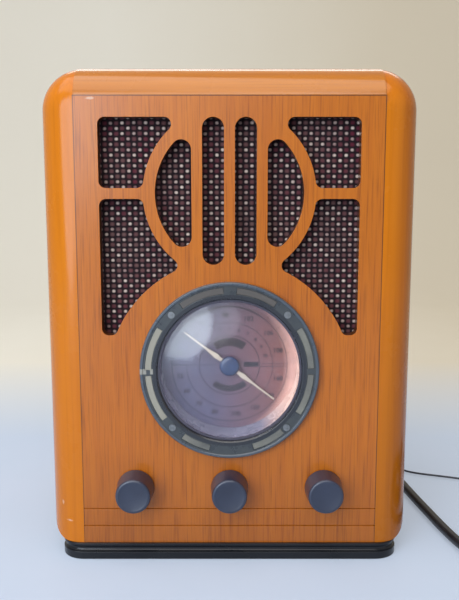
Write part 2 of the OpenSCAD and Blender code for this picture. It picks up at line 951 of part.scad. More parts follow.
module speaker_baffle() {
    color(raw_wood)
        difference() {
            slab(cloth_back, baffle_back)
                cloth_outline();
            rod(0, grille_z, cloth_back - cut, baffle_back + cut, baffle_hole_r);
            speaker_screw_holes(baffle_back - 4, baffle_back + cut);
        }
}

module speaker_screw_holes(y0, y1) {
    for (a = bezel_screw_angles)
        rod(speaker_screw_ring * cos(a), grille_z + speaker_screw_ring * sin(a), y0, y1,
            wood_screw_r + screw_gap);
}

module speaker_gasket() {
    color("#3a3a38")
        difference() {
            turned(0, grille_z)
                translate([gasket_in_r, baffle_back])
                    square([basket_r - gasket_in_r, gasket_t]);
            speaker_screw_holes(baffle_back - cut, flange_y + cut);
        }
}

module speaker_basket() {
    color(steel)
        difference() {
            turned(0, grille_z)
                polygon([
                    [basket_in_r, flange_y],
                    [basket_r, flange_y],
                    [basket_r, flange_y + basket_t],
                    [basket_in_r + 1.5, flange_y + basket_t],
                    [basket_end_r, flange_y + basket_d],
                    [basket_end_r, basket_back],
                    [gap_out_r, basket_back],
                    [gap_out_r, flange_y + basket_d],
                    [basket_end_r - 1.5, flange_y + basket_d]
                ]);
            speaker_screw_holes(flange_y - cut, flange_y + basket_t + cut);
            for (a = [0 : 60 : 300])
                translate([0, 0, grille_z])
                    rotate([0, a, 0])
                        translate([24, flange_y + 7, -9])
                            cube([30, basket_d - 13, 18]);
        }
}

module speaker_yoke() {
    color(steel) {
        turned(0, grille_z)
            translate([gap_out_r, basket_back])
                square([magnet_r - 1 - gap_out_r, yoke_t]);
        turned(0, grille_z)
            polygon([
                [0, basket_back],
                [pole_r, basket_back],
                [pole_r, magnet_back],
                [magnet_r - 1, magnet_back],
                [magnet_r - 1, magnet_back + yoke_t],
                [0, magnet_back + yoke_t]
            ]);
    }
}

module speaker_magnet() {
    color("#3b3b3f")
        turned(0, grille_z)
            translate([gap_out_r + 3, yoke_front_back])
                square([magnet_r - gap_out_r - 3, magnet_t]);
}

module cone_surround() {
    roll_r = (basket_in_r - surround_in_r) / 2;
    color("#26262a")
        turned(0, grille_z) {
            translate([basket_in_r - 0.4, flange_y - 0.5])
                square([gasket_in_r - touch_gap - basket_in_r + 0.4, 0.5]);
            intersection() {
                difference() {
                    translate([surround_in_r + roll_r, flange_y])
                        circle(roll_r, $fn = 48);
                    translate([surround_in_r + roll_r, flange_y])
                        circle(roll_r - 0.5, $fn = 48);
                }
                translate([surround_in_r, flange_y - roll_r])
                    square([2 * roll_r, roll_r]);
            }
        }
}

module speaker_spider() {
    wall_r = basket_in_r - (basket_in_r - basket_end_r + 1.5) * (spider_y - flange_y) / basket_d;
    color("#b98b3c")
        turned(0, grille_z)
            translate([former_r + cone_gap, spider_y])
                square([wall_r - 0.5 - former_r - cone_gap, 0.6]);
}

module speaker_cone() {
    cap_r = 16;
    cap_edge = 11;
    cone_front = flange_y - 0.4;
    cap_y = cone_front + cone_depth * (cone_r - cap_edge) / (cone_r - former_r) - 0.2;
    color("#2b2a2a") {
        turned(0, grille_z)
            polygon([
                [cone_r, cone_front],
                [cone_r, cone_front + paper_t],
                [former_r, cone_front + cone_depth + paper_t],
                [former_r - paper_t, cone_front + cone_depth + paper_t],
                [former_r - paper_t, cone_front + cone_depth]
            ]);
        intersection() {
            difference() {
                translate([0, cap_y + sqrt(cap_r * cap_r - cap_edge * cap_edge), grille_z])
                    sphere(cap_r, $fn = 96);
                translate([0, cap_y + sqrt(cap_r * cap_r - cap_edge * cap_edge), grille_z])
                    sphere(cap_r - paper_t, $fn = 96);
            }
            rod(0, grille_z, cap_y - 20, cap_y, cap_edge);
        }
    }
}

module voice_coil() {
    former_y = flange_y + cone_depth;
    color(brass) {
        turned(0, grille_z)
            translate([former_r - paper_t, former_y])
                square([paper_t, 18]);
        turned(0, grille_z)
            translate([former_r, basket_back - 2])
                square([winding_t, 8]);
    }
}

// Dial

module dial_bezel() {
    color("#3f4a4a")
        difference() {
            turned(0, dial_z)
                polygon([
                    [bezel_in_r, front_y],
                    [bezel_in_r, bezel_front + 1.4],
                    [bezel_in_r + 0.8, bezel_front + 0.6],
                    [bezel_r - 2.2, bezel_front + 0.6],
                    [bezel_r - 1.8, bezel_front],
                    [bezel_r - 0.6, bezel_front],
                    [bezel_r, bezel_front + 0.7],
                    [bezel_r, front_y]
                ]);
            for (span = insert_spans)
                ring_part(span[0], span[1], insert_in_r, insert_out_r, bezel_front - cut,
                    bezel_front + 0.6 + insert_d);
            for (a = bezel_screw_angles)
                rod(bezel_screw_r * cos(a), dial_z + bezel_screw_r * sin(a), bezel_front - cut,
                    front_y + cut, bezel_shank_r + screw_gap);
        }
}

module bezel_inserts() {
    turn_gap = insert_gap / insert_in_r * 60;
    color("#b8c0a0")
        for (span = insert_spans)
            ring_part(span[0] + turn_gap, span[1] - turn_gap, insert_in_r + insert_gap,
                insert_out_r - insert_gap, bezel_front + 0.6 + 0.2, bezel_front + 0.6 + insert_d);
}

module bezel_screws() {
    color(steel)
        for (a = bezel_screw_angles)
            screw_y(bezel_screw_r * cos(a), dial_z + bezel_screw_r * sin(a), bezel_front + 0.6, 2.2, 1,
                bezel_shank_r, flange_back - bezel_front - 0.6, 1);
}

module lens_ring() {
    edge_y = lens_surface_y(lens_ring_in_r);
    color("#c9c9c4")
        turned(0, dial_z)
            translate([lens_ring_in_r, edge_y - 1.7])
                square([lens_r - lens_ring_in_r, 1.6]);
}

function lens_surface_y(r) =
    front_y - lens_rise + lens_sphere_r - sqrt(lens_sphere_r * lens_sphere_r - r * r);

module dial_lens() {
    centre_y = front_y - lens_rise + lens_sphere_r;
    color("#dfe8ee", 0.35)
        turned(0, dial_z)
            intersection() {
                difference() {
                    translate([0, centre_y])
                        circle(lens_sphere_r, $fn = 400);
                    translate([0, centre_y])
                        circle(lens_sphere_r - lens_t, $fn = 400);
                }
                translate([0, front_y - lens_rise - cut])
                    square([lens_r, lens_rise + cut]);
            }
}

module dial_face() {
    color("#b08a84")
        difference() {
            rod(0, dial_z, face_y, housing_plate_y, recess_back_r - touch_gap);
            rod(0, dial_z, face_y - cut, housing_plate_y + cut, pointer_shaft_r + 0.4);
        }
}

module dial_housing() {
    color("#8d7f80")
        difference() {
            union() {
                rod(0, dial_z, front_y, housing_back, housing_r);
                rod(0, dial_z, panel_back, flange_back, flange_r);
                rod(0, dial_z, housing_plate_y, bushing_back, pointer_shaft_r + 3);
                for (a = bezel_screw_angles)
                    rod(boss_ring * cos(a), dial_z + boss_ring * sin(a), housing_plate_y,
                        capacitor_y, boss_r);
                for (x = [-lamp_x, lamp_x])
                    rod(x, dial_z, housing_plate_y, socket_back, socket_r);
            }
            turned(0, dial_z)
                polygon([
                    [0, front_y - cut],
                    [recess_r, front_y - cut],
                    [recess_r, front_y],
                    [recess_back_r, face_y],
                    [recess_back_r, housing_plate_y],
                    [0, housing_plate_y]
                ]);
            rod(0, dial_z, face_y, bushing_back + cut, pointer_shaft_r + running_gap);
            for (x = [-lamp_x, lamp_x])
                rod(x, dial_z, face_y, socket_back + cut, lamp_base_r + touch_gap);
            for (a = bezel_screw_angles) {
                rod(bezel_screw_r * cos(a), dial_z + bezel_screw_r * sin(a), panel_back - cut,
                    flange_back + cut, bezel_shank_r + screw_gap);
                rod(boss_ring * cos(a), dial_z + boss_ring * sin(a), capacitor_y - 7,
                    capacitor_y + cut, boss_screw_r + screw_gap);
            }
        }
}

module dial_lamps() {
    color("#e8d9a0")
        for (x = [-lamp_x, lamp_x]) {
            rod(x, dial_z, socket_back - 8, socket_back + 2, lamp_base_r);
            rod(x, dial_z, housing_plate_y + 0.4, socket_back - 8, lamp_base_r - 0.6);
        }
}

module pointer_outline() {
    difference() {
        union() {
            circle(hub_r - 1, $fn = 48);
            for (turn = [0, 180])
                rotate(turn)
                    polygon([
                        [0, -1.2],
                        [hub_r + 2, -1.1],
                        [hub_r + 4.5, -1.7],
                        [hub_r + 8, -1.2],
                        [hub_r + 13, -0.6],
                        [pointer_r - 0.6, -0.5],
                        [pointer_r, 0],
                        [pointer_r - 0.6, 0.5],
                        [hub_r + 13, 0.6],
                        [hub_r + 8, 1.2],
                        [hub_r + 4.5, 1.7],
                        [hub_r + 2, 1.1],
                        [0, 1.2]
                    ]);
        }
        circle(pointer_shaft_r, $fn = 48);
    }
}

module pointer() {
    color("#d9cfae")
        slab(pointer_front, pointer_back)
            translate([0, dial_z])
                rotate(pointer_angle)
                    pointer_outline();
}

module pointer_hub() {
    color("#20242e")
        difference() {
            turned(0, dial_z)
                polygon([
                    [0, hub_front],
                    [hub_r - 2, hub_front],
                    [hub_r - 0.6, hub_front + 0.6],
                    [hub_r, hub_front + 1.6],
                    [hub_r, pointer_front],
                    [0, pointer_front]
                ]);
            rod(0, dial_z, shaft_front, pointer_front + cut, pointer_shaft_r);
        }
}

module pointer_shaft() {
    color(steel)
        rod(0, dial_z, shaft_front, shaft_back, pointer_shaft_r);
}

module dial_drum() {
    color("#d8d6cc")
        turned(0, dial_z)
            polygon([
                [pointer_shaft_r, cord_y - 5],
                [6, cord_y - 5],
                [6, cord_y - 1],
                [drum_flange_r - 5, cord_y - 1],
                [drum_flange_r - 5, cord_y - drum_half],
                [drum_flange_r, cord_y - drum_half],
                [drum_flange_r, cord_y - groove_half],
                [groove_r, cord_y - 1],
                [groove_r, cord_y + 1],
                [drum_flange_r, cord_y + groove_half],
                [drum_flange_r, cord_y + drum_half],
                [drum_flange_r - 5, cord_y + drum_half],
                [drum_flange_r - 5, cord_y + 1],
                [6, cord_y + 1],
                [6, cord_y + 5],
                [pointer_shaft_r, cord_y + 5]
            ]);
}

// The drive cord's path round the drum and the tuning shaft, seen from the front
function cord_arc(x, z, r, a0, a1, count) = [
    for (k = [0 : count])
        let(a = a0 + (a1 - a0) * k / count)
        [x + r * cos(a), cord_y, z + r * sin(a)]
];

drum_open = 4;
drive_path = concat(
    cord_arc(0, dial_z, drum_r, spindle_angle + 180 - drum_open, spindle_angle + wrap_angle, 12),
    cord_arc(knob_x, knob_z, spindle_r, spindle_angle + wrap_angle, spindle_angle - wrap_angle, 8),
    cord_arc(0, dial_z, drum_r, spindle_angle - wrap_angle, spindle_angle - 180 + drum_open, 12)
);

module drive_cord() {
    color("#5a4a38")
        tube(drive_path, drive_cord_r, 6, [0, 1, 0]);
}

module tuning_capacitor() {
    color("#b9b6ab")
        difference() {
            union() {
                slab(capacitor_y, capacitor_y + plate_t)
                    translate([-plate_half, dial_z - plate_half])
                        square(2 * plate_half);
                translate([-capacitor_half, capacitor_y + plate_t, dial_z - capacitor_half])
                    cube([2 * capacitor_half, capacitor_d, 2 * capacitor_half]);
            }
            rod(0, dial_z, capacitor_y - cut, shaft_back + 1, pointer_shaft_r + running_gap);
            for (a = bezel_screw_angles)
                rod(boss_ring * cos(a), dial_z + boss_ring * sin(a), capacitor_y - cut,
                    capacitor_y + plate_t + cut, boss_screw_r + 0.2);
        }
}

// Controls

module control_bracket() {
    color(steel)
        difference() {
            union() {
                slab(bracket_y, bracket_back)
                    translate([-bracket_x, inner_floor])
                        square([2 * bracket_x, bracket_top - inner_floor]);
                translate([-bracket_x, bracket_back, inner_floor])
                    cube([2 * bracket_x, foot_d, bracket_t]);
            }
            for (x = [-knob_x, 0, knob_x])
                rod(x, knob_z, bracket_y - cut, bracket_back + cut, bushing_r + touch_gap);
            for (x = foot_screw_xs)
                translate([x, foot_screw_y, inner_floor - cut])
                    cylinder(h = bracket_t + 2 * cut, r = boss_screw_r + 0.2, $fn = 48);
        }
}

module control_nuts() {
    color(brass)
        for (x = [-knob_x, 0, knob_x])
            difference() {
                translate([x, bracket_y, knob_z])
                    rotate([90, 0, 0])
                        cylinder(h = nut_t, r = nut_r, $fn = 6);
                rod(x, knob_z, bracket_y - nut_t - cut, bracket_y + cut, bushing_r);
            }
}

module knob(x) {
    difference() {
        turned(x, knob_z)
            polygon([
                [0, knob_front],
                [knob_front_r - knob_edge, knob_front],
                [knob_front_r - knob_edge * 0.3, knob_front + knob_edge * 0.3],
                [knob_front_r, knob_front + knob_edge],
                [knob_r, knob_back - 1],
                [knob_r, knob_back],
                [0, knob_back]
            ]);
        rod(x, knob_z, knob_floor, knob_back + cut, shaft_r);
        rod(x, knob_z, knob_back - 4, knob_back + cut, knob_r - 3);
    }
}

module volume_knob() {
    color("#353c42")
        knob(-knob_x);
}

module band_knob() {
    color("#353c42")
        knob(0);
}

module tuning_knob() {
    color("#353c42")
        knob(knob_x);
}

module volume_shaft() {
    color(steel)
        rod(-knob_x, knob_z, knob_floor, shaft_tail, shaft_r);
}

module band_shaft() {
    color(steel)
        rod(0, knob_z, knob_floor, shaft_tail, shaft_r);
}

module tuning_shaft() {
    color(steel) {
        rod(knob_x, knob_z, knob_floor, cord_y - groove_half, shaft_r);
        rod(knob_x, knob_z, cord_y - groove_half, cord_y + groove_half, neck_r);
        rod(knob_x, knob_z, cord_y + groove_half, tuning_tail, shaft_r);
    }
}

module threaded_bush(x, back) {
    difference() {
        union() {
            rod(x, knob_z, bushing_front, bracket_back, bushing_r);
            children();
        }
        rod(x, knob_z, bushing_front - cut, back, shaft_r + running_gap);
    }
}

module volume_control() {
    color("#7c7f80")
        threaded_bush(-knob_x, shaft_tail + 0.5) {
            rod(-knob_x, knob_z, bracket_back, bracket_back + control_d, 8.5);
            for (k = [-1 : 1])
                translate([-knob_x + 5 * k - 1, bracket_back + 2, knob_z - 14])
                    cube([2, 1, 10]);
        }
}

module band_switch() {
    color("#8a6a3c")
        threaded_bush(0, shaft_tail + 0.5) {
            translate([-13, bracket_back, knob_z - 11])
                cube([26, control_d - 4, 22]);
            rod(0, knob_z, bracket_back + control_d - 4, bracket_back + control_d, 9);
        }
}

module tuning_bushing() {
    color(brass)
        threaded_bush(knob_x, bracket_back + 3)
            rod(knob_x, knob_z, bracket_back, bracket_back + 2.5, 7);
}

// Circuit board, aerial and transformer

module board_corners() {
    for (x = [-board_screw_x, board_screw_x])
        for (y = [-board_screw_y, board_screw_y])
            translate([board_x + x, board_y + y, 0])
                children();
}

module circuit_board() {
    color("#7a5a2a")
        difference() {
            translate([board_x - board_w / 2, board_y - board_d / 2, board_z])
                cube([board_w, board_d, board_t]);
            board_corners()
                translate([0, 0, board_z - cut])
                    cylinder(h = board_t + 2 * cut, r = wood_screw_r + 0.2, $fn = 48);
        }
}

module board_posts() {
    color("#d9d6cc")
        board_corners()
            difference() {
                translate([0, 0, inner_floor])
                    cylinder(h = post_h, r = 3.2, $fn = 48);
                translate([0, 0, board_z - 8])
                    cylinder(h = 8 + cut, r = wood_screw_r + screw_gap, $fn = 48);
            }
}

module board_components() {
    cans = [[-32, -20, 8, 24], [-10, -22, 6.5, 20], [12, -24, 5, 13]];
    coil_xs = [-34, -16, 2, 20];
    color("#2d3b57")
        for (c = cans)
            translate([board_x + c[0], board_y + c[1], board_top])
                cylinder(h = c[3], r = c[2], $fn = 48);
    color(steel) {
        for (x = coil_xs)
            translate([board_x + x - 5, board_y + 9, board_top])
                cube([10, 10, 13]);
        for (fin = [0 : 4])
            translate([board_x + 28, board_y - 30 + 5 * fin, board_top])
                cube([14, 2, 22]);
        translate([board_x + 26, board_y - 30, board_top])
            cube([2, 22, 22]);
    }
}

module aerial_rod() {
    color("#3a3536")
        translate([board_x - rod_l / 2, rod_y, rod_z])
            rotate([0, 90, 0])
                cylinder(h = rod_l, r = rod_r, $fn = 48);
    color(brass)
        difference() {
            translate([board_x - rod_coil_l / 2, rod_y, rod_z])
                rotate([0, 90, 0])
                    cylinder(h = rod_coil_l, r = rod_r + rod_coil_t, $fn = 48);
            translate([board_x - rod_coil_l / 2 - cut, rod_y, rod_z])
                rotate([0, 90, 0])
                    cylinder(h = rod_coil_l + 2 * cut, r = rod_r, $fn = 48);
        }
    color("#d9d6cc")
        for (side = [-1, 1])
            difference() {
                translate([board_x + side * (rod_l / 2 - 10) - holder_w / 2, rod_y - rod_r - 2, board_top])
                    cube([holder_w, 2 * rod_r + 4, rod_z - board_top + 3]);
                translate([board_x + side * (rod_l / 2 - 10) - holder_w, rod_y, rod_z])
                    rotate([0, 90, 0])
                        cylinder(h = 2 * holder_w, r = rod_r, $fn = 48);
            }
}

module transformer_core() {
    low = inner_floor;
    color("#55585a")
        difference() {
            translate([transformer_x - core_w / 2, transformer_y - core_d / 2, low])
                cube([core_w, core_d, transformer_h]);
            for (side = [-1, 1])
                translate([
                    transformer_x + side * (leg_half + window_half) / 2 - (window_half - leg_half) / 2,
                    transformer_y - core_d / 2 - cut,
                    low + yoke_w
                ])
                    cube([window_half - leg_half, core_d + 2 * cut, transformer_h - 2 * yoke_w]);
        }
}

module transformer_winding() {
    high = transformer_h - 2 * (yoke_w + window_gap);
    color("#c9a03a")
        difference() {
            translate([
                transformer_x - window_half + window_gap,
                transformer_y - winding_half_d,
                inner_floor + yoke_w + window_gap
            ])
                cube([2 * (window_half - window_gap), 2 * winding_half_d, high]);
            translate([
                transformer_x - leg_half - window_gap,
                transformer_y - core_d / 2 - window_gap,
                inner_floor
            ])
                cube([2 * (leg_half + window_gap), core_d + 2 * window_gap, transformer_h]);
        }
}

module inner_screws() {
    color(steel) {
        for (a = bezel_screw_angles)
            screw_y(speaker_screw_ring * cos(a), grille_z + speaker_screw_ring * sin(a),
                flange_y + basket_t, 2.2, 1.6, wood_screw_r, 6, -1);
        for (a = bezel_screw_angles)
            screw_y(boss_ring * cos(a), dial_z + boss_ring * sin(a), capacitor_y + plate_t, 2.4, 1.6,
                boss_screw_r, 7, -1);
        for (x = foot_screw_xs)
            screw_z(x, foot_screw_y, inner_floor + bracket_t, 2.6, 1.6, boss_screw_r, 6);
        board_corners()
            screw_z(0, 0, board_top, 2.8, 1.6, wood_screw_r, 8);
    }
}

// Cords

module strain_relief() {
    color(black)
        difference() {
            turned(relief_x, relief_z)
                polygon([
                    [0, cover_front - 2],
                    [relief_r + 1, cover_front - 2],
                    [relief_r + 1, cover_front],
                    [relief_r, cover_front],
                    [relief_r, cover_back],
                    [relief_r + 2, cover_back],
                    [relief_r + 2, cover_back + 2],
                    [relief_r - 0.4, cover_back + 3],
                    [cord_dia / 2 + 0.9, relief_back],
                    [0, relief_back]
                ]);
            for (k = [1 : 3])
                turned(relief_x, relief_z)
                    translate([cord_dia / 2 + 0.6, cover_back + 1 + 5 * k])
                        square([10, 1.4]);
        }
}

module power_cord() {
    color(black)
        tube(cord_route, cord_dia / 2, 10);
}

module power_cord_coil() {
    color(black)
        tube(cord_coil_path, cord_dia / 2, coil_sides);
}

module plug() {
    collar_l = 12;
    color(black) {
        translate([plug_x, plug_y, plug_z])
            rotate([-90, 0, 0])
                cylinder(h = collar_l, r1 = cord_dia / 2 + 0.8, r2 = 7, $fn = 48);
        translate([plug_x - plug_w / 2, plug_y + collar_l, plug_z - plug_h / 2])
            cube([plug_w, plug_l, plug_h]);
    }
}

module plug_pins() {
    color(brass)
        for (side = [-1, 1])
            translate([
                plug_x + side * pin_gap / 2 - pin_t / 2,
                plug_y + 12 + plug_l,
                plug_z - pin_w / 2
            ])
                cube([pin_t, pin_l, pin_w]);
}

// A band round the turns of a coil, at an angle from its centre
module tie(c, dia, angle, width, thick) {
    part = (angle + 90) / 360;
    radii = [for (k = [0 : floor(c[2] - part)]) coil_radius(c, part + k)];
    low_r = min(radii) - dia / 2 - tie_gap;
    high_r = max(radii) + dia / 2 + tie_gap;
    low_z = c[5] - dia / 2 - 0.02;
    high_z = c[5] + c[4] * (c[6] - 1) + dia / 2 + tie_gap;
    translate([c[0][0], c[0][1], 0])
        rotate([0, 0, angle])
            difference() {
                translate([low_r - thick, -width / 2, low_z - thick])
                    cube([high_r - low_r + 2 * thick, width, high_z - low_z + 2 * thick]);
                translate([low_r, -width / 2 - cut, low_z])
                    cube([high_r - low_r, width + 2 * cut, high_z - low_z]);
            }
}

module cord_ties() {
    color("#e6e4dc") {
        tie(cord_coil, cord_dia, 150, tie_w, tie_t);
        tie(wire_coil, wire_dia, 30, 3, tie_t);
    }
}

module wire_grommet() {
    color(black)
        turned(grommet_x, grommet_z)
            polygon([
                [0, cover_front - 1.5],
                [grommet_r + 1.2, cover_front - 1.5],
                [grommet_r + 1.2, cover_front],
                [grommet_r, cover_front],
                [grommet_r, cover_back],
                [grommet_r + 1.2, cover_back],
                [grommet_r + 1.2, cover_back + 1.4],
                [grommet_r - 0.8, grommet_back],
                [0, grommet_back]
            ]);
}

module aerial_wire() {
    color("#2c3038")
        tube(wire_path, wire_dia / 2, 8);
}

module aerial_wire_coil() {
    color("#2c3038")
        tube(wire_coil_path, wire_dia / 2, coil_sides);
}

plinth();
bottom_board();
side_left();
side_right();
top_board();
front_panel();
cabinet_battens();
back_cover();
back_screws();
grille_cloth();
speaker_baffle();
speaker_gasket();
speaker_basket();
speaker_yoke();
speaker_magnet();
cone_surround();
speaker_spider();
speaker_cone();
voice_coil();
dial_bezel();
bezel_inserts();
bezel_screws();
lens_ring();
dial_lens();
dial_face();
dial_housing();
dial_lamps();
pointer();
pointer_hub();
pointer_shaft();
dial_drum();
drive_cord();
tuning_capacitor();
control_bracket();
control_nuts();
volume_knob();
volume_shaft();
volume_control();
band_knob();
band_shaft();
band_switch();
tuning_knob();
tuning_shaft();
tuning_bushing();
circuit_board();
board_posts();
board_components();
aerial_rod();
inner_screws();
transformer_core();
transformer_winding();
strain_relief();
power_cord();
power_cord_coil();
plug();
plug_pins();
cord_ties();
wire_grommet();
aerial_wire();
aerial_wire_coil();
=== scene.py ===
# %% [markdown]
# # A table radio in a rounded wooden cabinet
# The radio is an upright wooden box. Two solid side mouldings with rounded front edges hold a
# veneered front panel between them, and a top board with a rounded nose closes it. The packed
# model already has every real part at its real size, so this script keeps those parts, softens
# the edges that a hand would feel, adds cloth, print, cords and fine trim, and gives each
# surface its own finish.

# %% Load the frame
import json
import math

import bmesh
import bpy
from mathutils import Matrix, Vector


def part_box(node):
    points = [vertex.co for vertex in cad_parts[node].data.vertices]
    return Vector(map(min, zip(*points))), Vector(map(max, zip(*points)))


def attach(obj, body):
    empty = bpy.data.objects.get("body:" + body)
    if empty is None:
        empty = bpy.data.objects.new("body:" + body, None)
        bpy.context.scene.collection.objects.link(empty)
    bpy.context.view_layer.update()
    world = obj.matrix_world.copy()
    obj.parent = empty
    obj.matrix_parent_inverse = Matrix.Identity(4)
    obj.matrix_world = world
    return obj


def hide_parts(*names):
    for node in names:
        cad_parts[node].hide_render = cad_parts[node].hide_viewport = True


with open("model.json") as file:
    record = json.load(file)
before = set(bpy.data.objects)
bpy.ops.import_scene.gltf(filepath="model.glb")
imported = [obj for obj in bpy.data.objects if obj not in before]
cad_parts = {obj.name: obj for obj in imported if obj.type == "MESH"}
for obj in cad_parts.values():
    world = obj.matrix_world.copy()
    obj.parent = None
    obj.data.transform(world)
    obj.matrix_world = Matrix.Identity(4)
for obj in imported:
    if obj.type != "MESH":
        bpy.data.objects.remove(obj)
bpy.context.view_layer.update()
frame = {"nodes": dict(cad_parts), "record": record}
nodes = frame["nodes"]
scene = bpy.context.scene
front_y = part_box("front_panel")[0].y
print(len(nodes), "parts, front at", round(front_y, 4))


# %% [markdown]
# ## The camera and the room
# The photograph was taken from a little above the dial, so the camera looks slightly down. Its
# focal length follows from how the cabinet's edges run together. The room is a pale floor that
# bends up into a wall behind, which gives soft shadows and no hard horizon on the object.

# %% Camera
camera_data = bpy.data.cameras.new("camera")
camera = bpy.data.objects.new("camera", camera_data)
scene.collection.objects.link(camera)
looks_down = 8.03
camera_data.sensor_width = 36.0
camera_data.lens = 44.7
camera.location = (0.0, -0.5594, 0.2402)
camera.rotation_euler = (math.radians(90 - looks_down), 0, 0)
scene.camera = camera
scene.view_settings.view_transform = "Standard"
print("camera", tuple(round(v, 3) for v in camera.location))


# %% Helpers for bpy.ops
def go_into(mode):
    bpy.ops.object.mode_set(mode=mode)


def deselect():
    """Leave edit mode and select nothing, so that the next operator acts on its own piece."""
    if bpy.context.object and bpy.context.object.mode != "OBJECT":
        go_into("OBJECT")
    bpy.ops.object.select_all(action="DESELECT")


def choose(piece):
    deselect()
    piece.select_set(True)
    bpy.context.view_layer.objects.active = piece


def apply_modifier(piece, kind, name, **values):
    choose(piece)
    modifier = piece.modifiers.new(name, kind)
    for key, value in values.items():
        setattr(modifier, key, value)
    bpy.ops.object.modifier_apply(modifier=modifier.name)


def settle(piece, name):
    """Put the piece's place into its mesh, so that its object sits at the origin."""
    choose(piece)
    bpy.ops.object.transform_apply(location=True, rotation=True, scale=True)
    piece.name = name
    piece.data.name = name
    return piece


def grow(*step):
    """Extrude what is selected by one step."""
    bpy.ops.mesh.extrude_region_move(TRANSFORM_OT_translate={"value": step})


def pick_all():
    bpy.ops.mesh.select_all(action="SELECT")


def merge_and_face_out():
    pick_all()
    bpy.ops.mesh.remove_doubles(threshold=0.000002)
    bpy.ops.mesh.normals_make_consistent(inside=False)


def pick(piece, kind, test):
    """In edit mode, select only the edges or faces that pass a test."""
    bpy.ops.mesh.select_mode(type=kind)
    bpy.ops.mesh.select_all(action="DESELECT")
    work = bmesh.from_edit_mesh(piece.data)
    for part in (work.edges if kind == "EDGE" else work.faces):
        part.select_set(test(part))
    bmesh.update_edit_mesh(piece.data)


# %% Floor and wall
deselect()
bpy.ops.mesh.primitive_plane_add(size=1, location=(0, -0.3, -0.0004))
room = bpy.context.object
room.scale = (5, 2.6, 1)
settle(room, "room")
go_into("EDIT")
pick(room, "EDGE", lambda edge: all(v.co.y > 0.9 for v in edge.verts))
bend_r, bend_steps, wall_h = 0.7, 14, 1.6
for k in range(bend_steps):
    a, b = (math.pi / 2 * j / bend_steps for j in (k, k + 1))
    grow(0, bend_r * (math.sin(b) - math.sin(a)), bend_r * (math.cos(a) - math.cos(b)))
grow(0, 0, wall_h)
go_into("OBJECT")
bpy.ops.object.shade_smooth()
print("room faces", len(room.data.polygons))


# %% [markdown]
# ## The lamps
# Cool daylight falls from a window behind the camera's left shoulder. Its place follows from the
# bright patch on the domed lens: where a mirror there would look is where the window stands. The
# same lamp gives the pale haze on the left of the lacquered front. A weak one above it and a pale
# patch of wall lighten the haze farther up and in. A soft lamp overhead puts the upper edges of
# the openings in shadow, a warm one fills from the right, and a narrow one behind lights the rim.

# %% Lamps and world
lamps = (
    ("window", (-0.78, -1.26, 0.52), (0, -0.09, 0.15), (1.1, 1.15), 17, (0.76, 0.87, 1.0)),
    ("upper_window", (-0.15, -1.3, 1.15), (0, -0.09, 0.25), (1.3, 0.35), 4.5, (0.92, 0.94, 1.0)),
    ("pale_wall", (-0.35, -1.5, 0.70), (-0.05, -0.09, 0.2), (1.1, 0.9), 3.4, (0.95, 0.96, 1.0)),
    ("ceiling", (-0.25, -0.45, 1.5), (0, -0.05, 0.15), (1.9, 1.1), 14, (1.0, 0.97, 0.93)),
    ("fill", (1.3, -0.9, 0.7), (0, 0, 0.15), (1.2, 1.2), 1, (1.0, 0.88, 0.74)),
    ("rim", (0.1, 1.0, 1.15), (0, 0, 0.3), (1.4, 0.25), 3.0, (1.0, 1.0, 1.0)),
)
for name, spot, aim, size, power, colour in lamps:
    data = bpy.data.lights.new(name, "AREA")
    data.shape = "ELLIPSE" if name in ("window", "pale_wall") else "RECTANGLE"
    data.size, data.size_y = size
    data.energy = power
    data.color = colour
    lamp = bpy.data.objects.new(name, data)
    scene.collection.objects.link(lamp)
    lamp.location = spot
    lamp.rotation_euler = (Vector(aim) - Vector(spot)).to_track_quat("-Z", "Y").to_euler()
world = bpy.data.worlds.new("even_room")
scene.world = world
world.use_nodes = True
sky = world.node_tree.nodes["Background"]
sky.inputs["Color"].default_value = (1.0, 0.97, 0.92, 1)
sky_strength = 0.22
sky.inputs["Strength"].default_value = sky_strength


# %% [markdown]
# ## The cords' routes
# The mains cord is a stiff 7 mm lead, 1.73 m long. It leaves a tapered strain relief low on the
# back, sinks to the floor, bends round the corner and runs forward beside the cabinet. What the
# photograph doesn't show lies in a neat coil beside the radio, tied, with its plug. The aerial is
# a thin wire with a bare end, which runs farther out and ends in a small coil. Both follow
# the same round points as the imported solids, joined by one smooth curve.

# %% Route points in millimetres
cord_low, wire_low = 4.1, 1.45
turn_r, turn_y, sink_l = 34, 118, 104
forward_points = [(x, y, 0) for x, y in (
    (138, 118), (138.2, 100), (138.7, 82), (139.5, 62), (141, 42), (143.4, 20), (146.2, -4),
    (149.4, -28), (153, -54), (157.5, -77), (164, -96), (174.5, -110.5), (188, -119),
    (202, -122.2), (216, -122.6))]
wire_points = [(10, 89, 40), (10.2, 97, 39.6), (11.6, 107, 36), (14.5, 118, 26), (18.5, 128, 13),
               (25, 138, 4.5)]
wire_points += [(x, y, wire_low) for x, y in (
    (35, 147), (48, 154.5), (63, 160), (80, 163.5), (97, 164.5), (114, 162), (129, 154.5),
    (139.5, 142), (144.5, 127), (146.5, 111), (147, 96), (147.5, 84), (149.5, 73), (153.8, 64.5),
    (163, 58.5), (178, 53), (194, 47), (206, 41), (216, 34.5), (226, 32))]


def smooth_route(points, steps):
    """The smooth curve through a route, with this many steps between its points."""
    p = [Vector(q) for q in points]
    p = [2 * p[0] - p[1]] + p + [2 * p[-1] - p[-2]]
    out = []
    for i in range(1, len(p) - 2):
        for s in range(steps):
            t = s / steps
            out.append(0.5 * (2 * p[i] + (p[i + 1] - p[i - 1]) * t
                              + (2 * p[i - 1] - 5 * p[i] + 4 * p[i + 1] - p[i + 2]) * t * t
                              + (3 * p[i] - p[i - 1] - 3 * p[i + 1] + p[i + 2]) * t ** 3))
    return out + [p[-2]]


